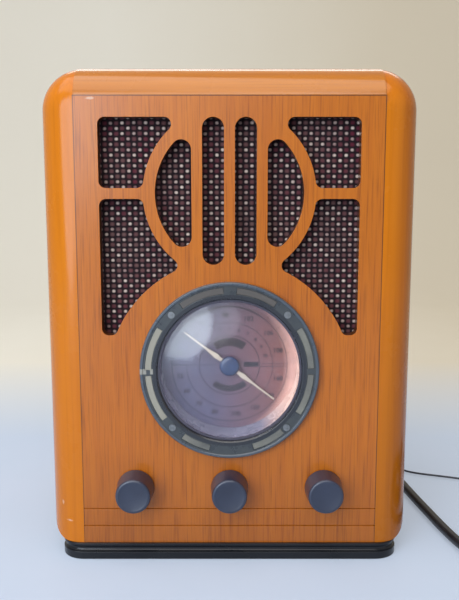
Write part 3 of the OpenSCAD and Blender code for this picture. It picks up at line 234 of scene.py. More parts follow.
def ease(t):
    t = max(0.0, min(1.0, t))
    return t * t * (3 - 2 * t)


def coil_point(centre, outer, turns, pitch, low, layers, u):
    """A point of a coil that spirals in and out again and climbs where it reverses."""
    share = turns / layers
    layer = min(layers - 1, int(u / share))
    along = u - layer * share
    radius = outer - pitch * (along if layer % 2 == 0 else share - along)
    height = low + pitch * sum(ease((u - k * share) / 0.5 + 0.5) for k in range(1, layers))
    angle = math.radians(360 * u - 90)
    return Vector((centre[0] + radius * math.cos(angle),
                   centre[1] + radius * math.sin(angle), height))


cord_coil = ((228, -73.6), 49, 5.25, 7.8, cord_low, 2)
wire_coil = ((230, 46), 14, 12, 2.2, wire_low, 4)
print("route points", len(forward_points), len(wire_points))


# %% Coil paths
def coil_path(coil, rings):
    turns = coil[2]
    return [coil_point(*coil, i / rings) for i in range(int(turns * rings) + 1)]


def mains_route():
    """Level out of the strain relief, down through a half turn, then forward on the floor."""
    exit_z = 26
    half_turn = [(70 + turn_r * (1 - math.cos(a)), turn_y + turn_r * math.sin(a), 0)
                 for a in (math.radians(6 * k) for k in range(30))]
    plan = [Vector(q) for q in [(70, 109, 0), (70, 112, 0), (70, 115, 0)] + half_turn]
    plan += smooth_route(forward_points, 5)
    run = 0
    for before, here in zip(plan, plan[1:]):
        run += math.hypot(here.x - before.x, here.y - before.y)
        here.z = exit_z + (cord_low - exit_z) * ease(run / sink_l)
    plan[0].z = exit_z
    return plan


plug_height, lead_out = 8.5, 46
cord_exit = coil_point(*cord_coil, cord_coil[2])
cord_tail = [Vector((cord_exit.x, cord_exit.y + lead_out * k / 10,
                     cord_exit.z + (plug_height - cord_exit.z) * ease(k / 8)))
             for k in range(1, 11)]
cord_path = mains_route() + coil_path(cord_coil, 48) + cord_tail
wire_exit = coil_point(*wire_coil, wire_coil[2])
wire_path = smooth_route(wire_points, 4) + coil_path(wire_coil, 36)
wire_path.append(wire_exit + Vector((4, 0, 0)))


def length_of(path):
    return sum((b - a).length for a, b in zip(path, path[1:])) / 1000


print("cord", round(length_of(cord_path), 3), "m, wire", round(length_of(wire_path), 3), "m")


# %% Cord tubes
def cord_tube(name, path, diameter):
    """A round cord: a curve of one open spline, swept and made a closed mesh."""
    data = bpy.data.curves.new(name, "CURVE")
    data.dimensions = "3D"
    data.bevel_depth = diameter / 2
    data.bevel_resolution = 3
    data.use_fill_caps = True
    spline = data.splines.new("POLY")
    spline.points.add(len(path) - 1)
    for point, place in zip(spline.points, path):
        point.co = (*(place / 1000), 1)
    tube = bpy.data.objects.new(name, data)
    scene.collection.objects.link(tube)
    choose(tube)
    bpy.ops.object.convert(target="MESH")
    tube = bpy.context.object
    go_into("EDIT")
    merge_and_face_out()
    go_into("OBJECT")
    settle(tube, name)
    bpy.ops.object.shade_smooth_by_angle(angle=math.radians(50))
    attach(tube, "cabinet")
    return tube


mains_cord = cord_tube("mains_cord", cord_path, 0.007)
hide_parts("power_cord", "power_cord_coil")
aerial_lead = cord_tube("aerial_lead", wire_path, 0.0017)
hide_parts("aerial_wire", "aerial_wire_coil")
print("cord faces", len(mains_cord.data.polygons), len(aerial_lead.data.polygons))


# %% [markdown]
# ## The ties and the plug
# A coil stays neat because a band holds it. Each band is a thin loop round the bundle, made from a
# box whose two ends are removed before the wall gets its thickness. The plug is a moulded body: a
# box, drawn in behind, ribbed for the fingers and rounded by a bevel.

# %% Ties
def tie_band(name, coil, diameter, angle, width, thickness):
    """A flat loop round all the turns that a coil has at one angle."""
    part = (angle + 90) / 360
    centre, outer, turns, pitch, low, layers = coil
    spots = [coil_point(*coil, part + k) for k in range(int(turns - part) + 1)]
    radii = [(Vector((s.x, s.y)) - Vector(centre)).length for s in spots]
    margin = diameter / 2 + 0.4
    low_r, high_r = min(radii) - margin, max(radii) + margin
    low_z, high_z = low - diameter / 2 - 0.02, low + pitch * (layers - 1) + margin
    deselect()
    bpy.ops.mesh.primitive_cube_add(size=0.001, location=(0, 0, 0))
    band = bpy.context.object
    band.scale = (high_r - low_r, width, high_z - low_z)
    bpy.ops.object.transform_apply(scale=True)
    go_into("EDIT")
    pick(band, "FACE", lambda face: abs(face.normal.y) > 0.9)
    bpy.ops.mesh.delete(type="ONLY_FACE")
    go_into("OBJECT")
    turn = math.radians(angle)
    middle = (low_r + high_r) / 2
    band.rotation_euler.z = turn
    band.location = ((centre[0] + middle * math.cos(turn)) / 1000,
                     (centre[1] + middle * math.sin(turn)) / 1000, (low_z + high_z) / 2000)
    settle(band, name)
    apply_modifier(band, "SOLIDIFY", "wall", thickness=thickness / 1000, offset=1)
    apply_modifier(band, "BEVEL", "round", width=thickness / 3000, segments=2,
                   limit_method="ANGLE")
    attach(band, "cabinet")
    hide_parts("cord_ties")
    return band


mains_tie = tie_band("mains_tie", cord_coil, 7, 150, 5, 0.5)
aerial_tie = tie_band("aerial_tie", wire_coil, 1.7, 30, 3, 0.5)
print("ties", len(mains_tie.data.polygons), len(aerial_tie.data.polygons))


# %% Plug
def moulded_plug():
    """A plug's body with a collar that runs into the cord, and finger grooves on both sides."""
    low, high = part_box("plug")
    middle_x, middle_z = (low.x + high.x) / 2, (low.z + high.z) / 2
    collar_y = low.y + 0.012
    deselect()
    bpy.ops.mesh.primitive_cube_add(size=1, location=(middle_x, (collar_y + high.y) / 2, middle_z))
    body = bpy.context.object
    body.scale = (high.x - low.x, high.y - collar_y, high.z - low.z)
    bpy.ops.object.transform_apply(scale=True)
    go_into("EDIT")
    pick(body, "FACE", lambda face: face.normal.y < -0.9)
    bpy.ops.mesh.inset(thickness=0.0022)
    bpy.ops.transform.translate(value=(0, -0.003, 0))
    bpy.ops.mesh.inset(thickness=0.0008)
    for step, size in ((-0.004, 0.8), (-0.004, 0.8), (-0.001, 0.9)):
        grow(0, step, 0)
        bpy.ops.transform.resize(value=(size, 1, size))
    go_into("OBJECT")
    settle(body, "moulded_plug")
    apply_modifier(body, "BEVEL", "round", width=0.0014, segments=4, limit_method="ANGLE")
    for side in (-1, 1):
        for k in range(4):
            y = collar_y + 0.008 + 0.0042 * k
            deselect()
            x = middle_x + side * (high.x - low.x) / 2
            bpy.ops.mesh.primitive_cylinder_add(vertices=24, radius=0.0011, depth=0.03,
                                                location=(x, y, middle_z))
            groove = bpy.context.object
            cut = body.modifiers.new("groove", "BOOLEAN")
            cut.operation, cut.object = "DIFFERENCE", groove
            choose(body)
            bpy.ops.object.modifier_apply(modifier=cut.name)
            bpy.data.objects.remove(groove)
    choose(body)
    bpy.ops.object.shade_smooth_by_angle(angle=math.radians(40))
    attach(body, "cabinet")
    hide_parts("plug")
    return body


plug_body = moulded_plug()
print("plug faces", len(plug_body.data.polygons))


# %% [markdown]
# ## Softened copies of the wooden parts
# No wooden edge is knife-sharp. A part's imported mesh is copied, its loose triangles are joined and
# merged into whole faces, and a small bevel rounds every hard edge. Between two neighbours the two
# bevels make the fine dark seam that shows on the real cabinet.

# %% Softened copies
def softened(node, name, width, segments=2):
    """A part's mesh in whole faces, with its hard edges rounded and its flat faces kept flat."""
    piece = nodes[node].copy()
    piece.data = nodes[node].data.copy()
    scene.collection.objects.link(piece)
    piece.parent = None
    for key in list(piece.keys()):
        del piece[key]
    choose(piece)
    go_into("EDIT")
    pick_all()
    bpy.ops.mesh.remove_doubles(threshold=0.000002)
    bpy.ops.mesh.dissolve_limited(angle_limit=math.radians(0.5))
    go_into("OBJECT")
    settle(piece, name)
    apply_modifier(piece, "BEVEL", "soft edge", width=width, segments=segments,
                   limit_method="ANGLE", angle_limit=math.radians(32), use_clamp_overlap=True)
    choose(piece)
    bpy.ops.object.shade_smooth_by_angle(angle=math.radians(28))
    apply_modifier(piece, "WEIGHTED_NORMAL", "flat faces", weight=100, keep_sharp=True)
    bodies = frame["record"]["behaviour"]["bodies"]
    body = next(b for b, members in bodies.items() if node in members)
    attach(piece, body)
    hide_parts(node)
    return piece


front = softened("front_panel", "veneered_front", 0.0009, segments=3)
left_side = softened("side_left", "moulding_left", 0.0005)
right_side = softened("side_right", "moulding_right", 0.0005)
top = softened("top_board", "nosed_top", 0.0004)
base = softened("plinth", "moulded_plinth", 0.0009, segments=3)
for piece in (front, left_side, right_side, top, base):
    print(piece.name, len(piece.data.polygons), "faces")


# %% [markdown]
# ## Turned pieces
# Knobs are turned shapes. Their outline is drawn as a chain of points out from one corner of a
# plane, point by point, and spun about the shaft's line. The face is slightly hollow inside a
# fine raised rim, which catches a thin ring of light.

# %% Turning
def turned(name, outline, x, z, steps=96):
    """Spin an outline of radius and Y points about a line along Y."""
    deselect()
    bpy.ops.mesh.primitive_plane_add(size=0.001)
    piece = bpy.context.object
    go_into("EDIT")
    bpy.ops.mesh.select_mode(type="VERT")
    pick_all()
    bpy.ops.mesh.merge(type="CENTER")
    start = Vector((x + outline[0][0], outline[0][1], z))
    bpy.ops.transform.translate(value=start)
    for (r0, y0), (r1, y1) in zip(outline, outline[1:]):
        grow(r1 - r0, y1 - y0, 0)
    pick_all()
    bpy.ops.mesh.spin(steps=steps, angle=math.tau, center=(x, 0, z), axis=(0, 1, 0))
    pick_all()
    bpy.ops.mesh.remove_doubles(threshold=0.00001)
    bpy.ops.mesh.normals_make_consistent(inside=False)
    go_into("OBJECT")
    settle(piece, name)
    bpy.ops.object.shade_smooth_by_angle(angle=math.radians(30))
    return piece


def knob(name, node, body):
    low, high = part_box(node)
    x, z = (low.x + high.x) / 2, (low.z + high.z) / 2
    r = (high.x - low.x) / 2
    f, b = low.y, high.y
    nose, edge = r * 0.919, 0.0015
    outline = [(0, f + 0.0003), (nose - 0.0027, f + 0.0003), (nose - 0.0022, f + 0.0001),
               (nose - 0.0017, f)]
    for turn in (math.radians(18 * k) for k in range(1, 6)):
        outline.append((nose - edge * (1 - math.sin(turn)), f + edge * (1 - math.cos(turn))))
    outline += [(r - 0.0001, b - 0.0016), (r, b - 0.0008), (r - 0.0004, b), (r - 0.0026, b),
                (r - 0.003, b - 0.0004), (r - 0.003, b - 0.004), (0.0046, b - 0.004),
                (0.0046, b - 0.001), (0.003, b - 0.001), (0.003, f + 0.003), (0, f + 0.003)]
    piece = turned(name, outline, x, z)
    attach(piece, body)
    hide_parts(node)
    return piece


knobs = [knob("volume_grip", "volume_knob", "volume"), knob("band_grip", "band_knob", "band"),
         knob("tuning_grip", "tuning_knob", "tuning")]
print("knob faces", [len(k.data.polygons) for k in knobs])


# %% [markdown]
# ## The dial
# The bezel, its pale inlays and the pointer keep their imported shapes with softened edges. The hub
# is a turned dome, and so is the lens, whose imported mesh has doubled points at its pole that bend
# the view. The scale is printed on the face: thin circles, ticks and plain numbers. Each mark is a
# flat sliver just proud of the face, so it stays crisp close up and needs no image.

# %% Dial trim
bezel = softened("dial_bezel", "bezel_casting", 0.00025)
inlays = softened("bezel_inserts", "bezel_inlays", 0.00015)
hand = softened("pointer", "pointer_hand", 0.00015)
dial_low, dial_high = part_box("dial_face")
dial_z = (dial_low.z + dial_high.z) / 2
print_y = dial_low.y - 0.00004


def domed_hub():
    """A low dome with a rounded shoulder, closed behind against the pointer."""
    low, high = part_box("pointer_hub")
    r, f, b = (high.x - low.x) / 2, low.y, high.y
    outline = [(0, f), (r * 0.25, f + 0.00004), (r * 0.45, f + 0.00014), (r * 0.62, f + 0.0003),
               (r * 0.76, f + 0.0005), (r * 0.87, f + 0.0008), (r * 0.95, f + 0.0012),
               (r * 0.99, f + 0.0016), (r, f + 0.0020), (r, b - 0.0002), (r - 0.0002, b), (0, b)]
    dome = turned("domed_hub", outline, 0, dial_z)
    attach(dome, "pointer_drive")
    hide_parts("pointer_hub")
    return dome


def domed_lens():
    """A thin dome between two spheres about one centre, with a flat rim."""
    low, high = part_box("dial_lens")
    r, rise, wall = (high.x - low.x) / 2, high.y - low.y, 0.0016
    ball = (r * r + rise * rise) / (2 * rise)
    spread_out, spread_in = math.asin(r / ball), math.acos((ball - rise) / (ball - wall))

    def arc(radius, angle):
        return radius * math.sin(angle), low.y + ball - radius * math.cos(angle)

    outline = [arc(ball, spread_out * k / 24) for k in range(25)]
    outline += [arc(ball - wall, spread_in * k / 24) for k in range(24, -1, -1)]
    dome = turned("domed_lens", outline, 0, dial_z, steps=128)
    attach(dome, "cabinet")
    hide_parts("dial_lens")
    return dome


cap = domed_hub()
lens = domed_lens()
print("dial centre", round(dial_z, 4), "lens faces", len(lens.data.polygons))


# %% Printed circles and ticks
def sliver(work, corners):
    work.faces.new([work.verts.new(c) for c in corners])


def polar(radius, degrees):
    a = math.radians(degrees)
    return Vector((radius * math.cos(a), print_y, dial_z + radius * math.sin(a)))


def band(work, inner, outer, start, end):
    """A flat ring segment that faces the viewer, from many small quads."""
    steps = max(4, int(abs(end - start) / 3))
    for k in range(steps):
        a = start + (end - start) * k / steps
        b = start + (end - start) * (k + 1) / steps
        sliver(work, [polar(inner, a), polar(inner, b), polar(outer, b), polar(outer, a)])


def printed(name, draw):
    """Build flat print with draw(), give it a little thickness and lay it on the face."""
    mesh = bpy.data.meshes.new(name)
    piece = bpy.data.objects.new(name, mesh)
    scene.collection.objects.link(piece)
    work = bmesh.new()
    draw(work)
    bmesh.ops.remove_doubles(work, verts=work.verts, dist=0.000001)
    bmesh.ops.recalc_face_normals(work, faces=work.faces)
    work.to_mesh(mesh)
    work.free()
    apply_modifier(piece, "SOLIDIFY", "ink", thickness=0.00004, offset=0)
    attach(piece, "cabinet")
    return piece


def tick(work, radius, length, degrees, half):
    sliver(work, [polar(radius, degrees - half), polar(radius, degrees + half),
                  polar(radius + length, degrees + half), polar(radius + length, degrees - half)])


inner_circle, middle_circle, outer_circle = 0.0199, 0.0285, 0.0381


def draw_scale(work):
    for radius, width in ((inner_circle, 0.0005), (middle_circle, 0.00035),
                          (outer_circle, 0.00035)):
        band(work, radius - width / 2, radius + width / 2, 0, 360)
    band(work, 0.0130, 0.0184, 52, 128)
    band(work, 0.0138, 0.0180, 230, 310)
    for radius, gaps, long_tick, short_tick in (
            (middle_circle, 40, (0.0022, 0.28), (0.0011, 0.18)),
            (outer_circle, 60, (0.0018, 0.14), (0.0009, 0.14))):
        for k in range(gaps + 1):
            a = 12 + 156 * k / gaps
            length, half = short_tick if k % 5 else long_tick
            for turn in (a, -a):
                tick(work, radius, length, turn, half)


scale_print = printed("scale_print", draw_scale)
print("scale faces", len(scale_print.data.polygons))


# %% Divider bars and numbers
def draw_bars(work):
    hub_side, end = 0.0095, 0.0378
    for x0, x1, z0, z1 in ((hub_side, 0.0192, -0.0012, 0.0022), (0.0205, end, 0.0008, 0.0011),
                           (0.0205, end, -0.0011, -0.0008), (-end, -hub_side, -0.0002, 0.0002)):
        sliver(work, [Vector((x, print_y, dial_z + z))
                      for x, z in ((x0, z0), (x1, z0), (x1, z1), (x0, z1))])


bar_print = printed("bar_print", draw_bars)


def number(text, radius, degrees, height):
    """One plain number, upright, made a mesh and laid flat on the face."""
    deselect()
    bpy.ops.object.text_add()
    mark = bpy.context.object
    mark.data.body = text
    mark.data.size = height
    mark.data.align_x, mark.data.align_y = "CENTER", "CENTER"
    mark.data.extrude = 0.00002
    mark.data.offset = 0.00011
    mark.data.resolution_u = 3
    bpy.ops.object.convert(target="MESH")
    mark = bpy.context.object
    mark.location = polar(radius, degrees)
    mark.rotation_euler = (math.radians(90), 0, 0)
    return settle(mark, "number_" + text)


upper = zip(("88", "90", "94", "98", "102", "106", "108"), (166, 147, 122, 95, 68, 40, 17))
lower = zip(("55", "60", "70", "80", "100", "120", "140", "160"),
            (193, 212, 232, 253, 277, 300, 322, 344))
marks = [number(text, 0.0334, angle, 0.0044) for text, angle in (*upper, *lower)]
marks += [number(str(k), 0.0243, 165 - 15 * k, 0.0030) for k in range(1, 11)]
deselect()
for mark in marks:
    mark.select_set(True)
bpy.context.view_layer.objects.active = marks[0]
bpy.ops.object.join()
dial_numbers = bpy.context.object
dial_numbers.name = dial_numbers.data.name = "dial_numbers"
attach(dial_numbers, "cabinet")
print("number faces", len(dial_numbers.data.polygons))


# %% [markdown]
# ## The grille cloth
# Speaker cloth is a loose weave that lets sound through. It is stretched flat behind the front
# panel, so it is one sheet, finely divided and raised a little where a thread passes over another.
# The thread that lies on top changes from crossing to crossing, which gives the staggered dots.

# %% Stretched cloth
column_pitch, row_pitch = 0.00371, 0.00332


def woven_sheet():
    low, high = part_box("grille_cloth")
    columns = int((high.x - low.x) / (column_pitch / 4))
    rows = int((high.z - low.z) / (row_pitch / 4))
    deselect()
    bpy.ops.mesh.primitive_grid_add(x_subdivisions=columns, y_subdivisions=rows, size=1)
    sheet = bpy.context.object
    sheet.scale = (high.x - low.x, high.z - low.z, 1)
    sheet.rotation_euler = (math.radians(90), 0, 0)
    sheet.location = ((low.x + high.x) / 2, low.y + 0.0003, (low.z + high.z) / 2)
    settle(sheet, "woven_cloth")
    go_into("EDIT")
    work = bmesh.from_edit_mesh(sheet.data)
    dial_hole = 0.057
    inside = [v for v in work.verts if math.hypot(v.co.x, v.co.z - dial_z) < dial_hole]
    bmesh.ops.delete(work, geom=inside, context="VERTS")
    for vert in work.verts:
        across = math.cos(math.pi * vert.co.x / column_pitch)
        along = math.cos(math.pi * vert.co.z / row_pitch)
        vert.co.y -= 0.00018 * across * along
    bmesh.update_edit_mesh(sheet.data)
    go_into("OBJECT")
    apply_modifier(sheet, "SOLIDIFY", "thread", thickness=0.0003, offset=0)
    choose(sheet)
    bpy.ops.object.shade_smooth()
    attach(sheet, "cabinet")
    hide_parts("grille_cloth")
    return sheet, (high.x - low.x, high.z - low.z)


cloth, cloth_size = woven_sheet()
print("cloth faces", len(cloth.data.polygons))


# %% [markdown]
# ## Shared effects
# Wood figure, smudges and weave are used by several finishes, so each is a node group that
# gives masks and heights only. The finish itself keeps its own colours and its own shader.

# %% Node helpers
def group(name, outputs, **inputs):
    """A shared effect: takes a Vector and these numbers, and gives these masks and heights."""
    tree = bpy.data.node_groups.new(name, "ShaderNodeTree")
    tree.interface.new_socket("Vector", in_out="INPUT", socket_type="NodeSocketVector")
    for label, value in inputs.items():
        socket = tree.interface.new_socket(label, in_out="INPUT", socket_type="NodeSocketFloat")
        socket.default_value = value
    for label in outputs:
        tree.interface.new_socket(label, in_out="OUTPUT", socket_type="NodeSocketFloat")
    return tree, tree.nodes.new("NodeGroupInput").outputs, tree.nodes.new("NodeGroupOutput").inputs


def add(tree, kind, **values):
    node = tree.nodes.new(kind)
    for key, value in values.items():
        setattr(node, key, value)
    return node


def feed(tree, node, values):
    """Give a node's inputs their plain numbers or their links."""
    for key, value in values.items():
        if isinstance(value, (int, float)):
            node.inputs[key].default_value = value
        elif value is not None:
            tree.links.new(value, node.inputs[key])


def maths(tree, operation, a, b=None, clamp=False):
    node = add(tree, "ShaderNodeMath", operation=operation, use_clamp=clamp)
    feed(tree, node, {0: a, 1: b})
    return node.outputs[0]


def times(tree, a, b):
    return maths(tree, "MULTIPLY", a, b)


def plus(tree, a, b):
    return maths(tree, "ADD", a, b)


def minus(tree, a, b):
    return maths(tree, "SUBTRACT", a, b)


def squares(tree, a, b):
    return plus(tree, times(tree, a, a), times(tree, b, b))


def spread(tree, value, low, high):
    """Stretch a value so that low becomes 0 and high becomes 1, and clamp it."""
    node = add(tree, "ShaderNodeMapRange")
    feed(tree, node, {"Value": value, "From Min": low, "From Max": high})
    return node.outputs[0]


def noise(tree, vector, **values):
    node = add(tree, "ShaderNodeTexNoise")
    feed(tree, node, {"Vector": vector, **values})
    return node.outputs


# %% Wood figure
figure, given, result = group("wood_figure", ("Tone", "Pores"), Streaks=60.0)
broad = noise(figure, given["Vector"], Scale=9, Detail=4)
fine = noise(figure, given["Vector"], Scale=given["Streaks"], Detail=5, Roughness=0.62)
tone = plus(figure, times(figure, broad[0], 0.5), times(figure, fine[0], 0.5))
figure.links.new(spread(figure, tone, 0.34, 0.66), result["Tone"])
pore_scale = times(figure, given["Streaks"], 3.0)
pore = noise(figure, given["Vector"], Scale=pore_scale, Detail=3)
figure.links.new(spread(figure, pore[0], 0.50, 0.70), result["Pores"])
print("group", figure.name)

# %% Smudges
smudge, given, result = group("smudges", ("Mask", "Grit"), Size=30.0)
cloud = noise(smudge, given["Vector"], Scale=given["Size"], Detail=6, Roughness=0.6)
smudge.links.new(spread(smudge, cloud[0], 0.35, 0.68), result["Mask"])
grit = noise(smudge, given["Vector"], Scale=times(smudge, given["Size"], 40), Detail=2)
smudge.links.new(spread(smudge, grit[0], 0.3, 0.7), result["Grit"])
print("group", smudge.name)

# %% Weave
weave, given, result = group("plain_weave", ("Dots", "Gaps", "Height"))
slack = noise(weave, given["Vector"], Scale=35)
pull = add(weave, "ShaderNodeVectorMath", operation="MULTIPLY_ADD")
pull.inputs[1].default_value = (0.0012, 0, 0.0012)
feed(weave, pull, {0: slack["Color"], 2: given["Vector"]})
parts = add(weave, "ShaderNodeSeparateXYZ")
weave.links.new(pull.outputs["Vector"], parts.inputs[0])


def crossing(value, pitch):
    """Cosine of half a turn for each thread: its sign tells which thread is on top."""
    return maths(weave, "COSINE", times(weave, value, math.pi / pitch))


over = times(weave, crossing(parts.outputs["X"], column_pitch),
             crossing(parts.outputs["Z"], row_pitch))
weave.links.new(spread(weave, over, 0.42, 0.95), result["Dots"])
weave.links.new(spread(weave, over, -0.10, -0.85), result["Gaps"])
twist = noise(weave, given["Vector"], Scale=1800)
height = plus(weave, maths(weave, "ABSOLUTE", over), times(weave, twist[0], 0.5))
weave.links.new(height, result["Height"])
print("group", weave.name)


# %% Material helpers
def material(name, **uniform):
    """A new material with its shader, whose plain numbers are set on the shader's own sockets."""
    finish = bpy.data.materials.new(name)
    finish.use_nodes = True
    shader = finish.node_tree.nodes["Principled BSDF"]
    for key, value in uniform.items():
        label = key.replace("_", " ")
        if isinstance(value, tuple) and len(value) == 3:
            value = (*value, 1)
        shader.inputs[label].default_value = value
    return finish, finish.node_tree, shader


def place(tree, scale=(1, 1, 1)):
    """Object coordinates, stretched."""
    where = add(tree, "ShaderNodeTexCoord")
    mapping = add(tree, "ShaderNodeMapping")
    tree.links.new(where.outputs["Object"], mapping.inputs["Vector"])
    mapping.inputs["Scale"].default_value = scale
    return mapping.outputs["Vector"]


def use(tree, shared, vector, **values):
    """A shared effect at these coordinates. Gives its outputs."""
    node = add(tree, "ShaderNodeGroup")
    node.node_tree = shared
    tree.links.new(vector, node.inputs["Vector"])
    for key, value in values.items():
        node.inputs[key].default_value = value
    return node.outputs


def blend(tree, mask, low, high):
    """Mix two colours, or a socket and a colour, by a mask."""
    node = add(tree, "ShaderNodeMix", data_type="RGBA")
    tree.links.new(mask, node.inputs["Factor"])
    for label, value in (("A", low), ("B", high)):
        socket = [s for s in node.inputs if s.name == label and s.type == "RGBA"][0]
        if isinstance(value, tuple):
            socket.default_value = (*value, 1)
        else:
            tree.links.new(value, socket)
    return [s for s in node.outputs if s.type == "RGBA"][0]


def axes(tree):
    """The X, Y and Z of a point on the radio."""
    node = add(tree, "ShaderNodeSeparateXYZ")
    tree.links.new(place(tree), node.inputs[0])
    return node.outputs["X"], node.outputs["Y"], node.outputs["Z"]


def from_axis(tree, height):
    """Distance from a line along Y at X 0 and this height."""
    x, _, z = axes(tree)
    return maths(tree, "SQRT", squares(tree, x, minus(tree, z, height)))


def tint(tree, shader, colour):
    tree.links.new(colour, shader.inputs["Base Color"])


def uneven_gloss(tree, shader, mask, vary, gloss):
    tree.links.new(plus(tree, times(tree, mask, vary), gloss), shader.inputs["Roughness"])


def bump(tree, shader, height, distance, strength):
    node = add(tree, "ShaderNodeBump")
    feed(tree, node, {"Strength": strength, "Distance": distance, "Height": height})
    tree.links.new(node.outputs["Normal"], shader.inputs["Normal"])


def painted(finish):
    """A finish's nodes, its shader and the colour that it has so far."""
    tree = finish.node_tree
    shader = tree.nodes["Principled BSDF"]
    return tree, shader, shader.inputs["Base Color"].links[0].from_socket


def dress(finish, *pieces):
    """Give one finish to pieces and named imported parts, in place of all their material slots."""
    for piece in pieces:
        data = (nodes[piece] if isinstance(piece, str) else piece).data
        data.materials.clear()
        data.materials.append(finish)


# %% [markdown]
# ## Wood finishes
# The front is a veneer with fine, straight, upright grain under satin lacquer. The mouldings and
# the top are solid wood stained a stronger orange under a thick gloss. The figure comes from noise
# that is stretched along the grain, once broad and once fine, with small dark pores. The wood is
# darker in the joints and on the openings' walls. Low down it is darker by painted shade, on the
# mouldings more on the side away from the window, and three small knocks in the lacquer show
# paler wood.

# %% Lacquered wood
# The dark colour of the joints, also used for the painted shade low on the wood.
stain_and_shade, bare_wood = (0.035, 0.012, 0.006), (0.78, 0.62, 0.48)


def lacquered_wood(name, pale, deep, dark, scale, streaks, gloss, coat, pores=0.55, stains_and_shade=None):
    finish, tree, shader = material(name, Coat_Weight=coat, Coat_Roughness=gloss * 0.7,
                                    Specular_IOR_Level=0.1)
    look = use(tree, figure, place(tree, scale), Streaks=streaks)
    tone = blend(tree, look["Tone"], pale, deep)
    tone = blend(tree, times(tree, look["Pores"], pores), tone, dark)
    if stains_and_shade:
        # Where the mask says, the wood takes the dark joint colour: real stain in the joints,
        # painted shade low down.
        tone = blend(tree, times(tree, stains_and_shade(tree), 0.85), tone, stain_and_shade)
    tint(tree, shader, scuffs(tree, tone) if coat else tone)
    worn = use(tree, smudge, place(tree), Size=22.0)
    uneven_gloss(tree, shader, worn["Mask"], 0.12, gloss)
    bump(tree, shader, times(tree, look["Pores"], -1), 0.00006, 0.35)
    return finish


def scuffs(tree, tone):
    """Knocks that show paler wood, each an oval about a point of the front."""
    x, y, z = axes(tree)
    near_front = spread(tree, y, front_y + 0.03, front_y + 0.02)
    rough = use(tree, smudge, place(tree), Size=300.0)
    for middle_x, middle_z, half_x, half_z in ((-0.1110, 0.0370, 0.0009, 0.0022),
                                               (-0.1060, 0.0255, 0.0030, 0.0008),
                                               (-0.0858, 0.2990, 0.0036, 0.0009)):
        aside = times(tree, minus(tree, x, middle_x), 1 / half_x)
        up = times(tree, minus(tree, z, middle_z), 1 / half_z)
        knock = spread(tree, plus(tree, squares(tree, aside, up), rough["Mask"]), 1.4, 0.6)
        knock = times(tree, knock, times(tree, near_front, 0.45))
        tone = blend(tree, knock, tone, bare_wood)
    return tone


def front_seams(tree):
    """Stain in the joints round the front panel, darker on its openings' sawn walls, and painted
    shade low down.
    """
    joint_x, joint_z = 0.0959, 0.3002
    x, y, z = axes(tree)
    aside = spread(tree, maths(tree, "ABSOLUTE", x), joint_x, joint_x + 0.0004)
    above = spread(tree, z, joint_z, joint_z + 0.0004)
    inside = spread(tree, y, front_y + 0.0009, front_y + 0.0016)
    # Painted shade: the front darkens towards the bottom.
    shade_low_down = times(tree, spread(tree, z, 0.080, 0.020), 0.26)
    joints = maths(tree, "MAXIMUM", aside, above)
    return maths(tree, "MAXIMUM", maths(tree, "MAXIMUM", joints, inside), shade_low_down)


def darker_foot(tree):
    """Painted shade low on the mouldings, more on the side away from the window."""
    x, _, z = axes(tree)
    # Painted shade: darker low down and more so on the right, away from the window.
    away = plus(tree, times(tree, spread(tree, x, -0.09, 0.09), 0.28), 0.06)
    return times(tree, spread(tree, z, 0.180, 0.020), away)


upright, across, round_about = (1.0, 1.0, 0.03), (0.03, 1.0, 1.0), (0.6, 1.0, 0.6)
veneer = lacquered_wood(
    "satin_veneer", (0.53, 0.150, 0.006), (0.40, 0.096, 0.004), (0.14, 0.026, 0.002),
    upright, 300.0, 0.32, 0.9, 0.5, front_seams)
stained = lacquered_wood(
    "stained_moulding", (0.62, 0.180, 0.003), (0.52, 0.135, 0.002), (0.26, 0.055, 0.002),
    upright, 140.0, 0.20, 0.45, 0.15, darker_foot)
stained_top = lacquered_wood(
    "stained_top", (0.50, 0.160, 0.005), (0.42, 0.118, 0.004), (0.22, 0.055, 0.002),
    across, 140.0, 0.22, 1.0, 0.2)
raw_wood = lacquered_wood(
    "raw_wood", (0.55, 0.38, 0.21), (0.42, 0.27, 0.13), (0.2, 0.12, 0.05),
    (0.05, 1.0, 1.0), 40.0, 0.62, 0.0)
back_hardboard = lacquered_wood(
    "back_hardboard", (0.26, 0.15, 0.075), (0.19, 0.105, 0.05), (0.08, 0.04, 0.02),
    round_about, 160.0, 0.6, 0.0)
dress(veneer, front)
dress(stained, left_side, right_side)
dress(stained_top, top)
dress(raw_wood, "bottom_board", "cabinet_battens", "speaker_baffle")
dress(back_hardboard, "back_cover")
print("wood finishes done")


# %% [markdown]
# ## Black lacquer, moulded plastic and rubber
# Dark smooth parts look dead with one flat value. Each gets a faint cloud in its roughness, as
# from handling, and a grain in its surface that is fine on the plinth and coarser on rubber.

# %% Smooth dark parts
def moulded(name, colour, second, gloss, cloud, vary=0.12, grain=0.00001, **uniform):
    finish, tree, shader = material(name, **uniform)
    look = use(tree, smudge, place(tree), Size=cloud)
    tint(tree, shader, blend(tree, look["Mask"], colour, second))
    uneven_gloss(tree, shader, look["Mask"], vary, gloss)
    bump(tree, shader, look["Grit"], grain, 0.5)
    return finish


lacquer = moulded("black_lacquer", (0.005, 0.006, 0.009), (0.010, 0.011, 0.014), 0.22, 26.0,
                  Coat_Weight=0.45, Coat_Roughness=0.10, Specular_IOR_Level=0.1)
knob_plastic = moulded("knob_plastic", (0.012, 0.018, 0.041), (0.018, 0.026, 0.055), 0.34, 60.0,
                       grain=0.00002, Coat_Weight=0.5, Coat_Roughness=0.15)


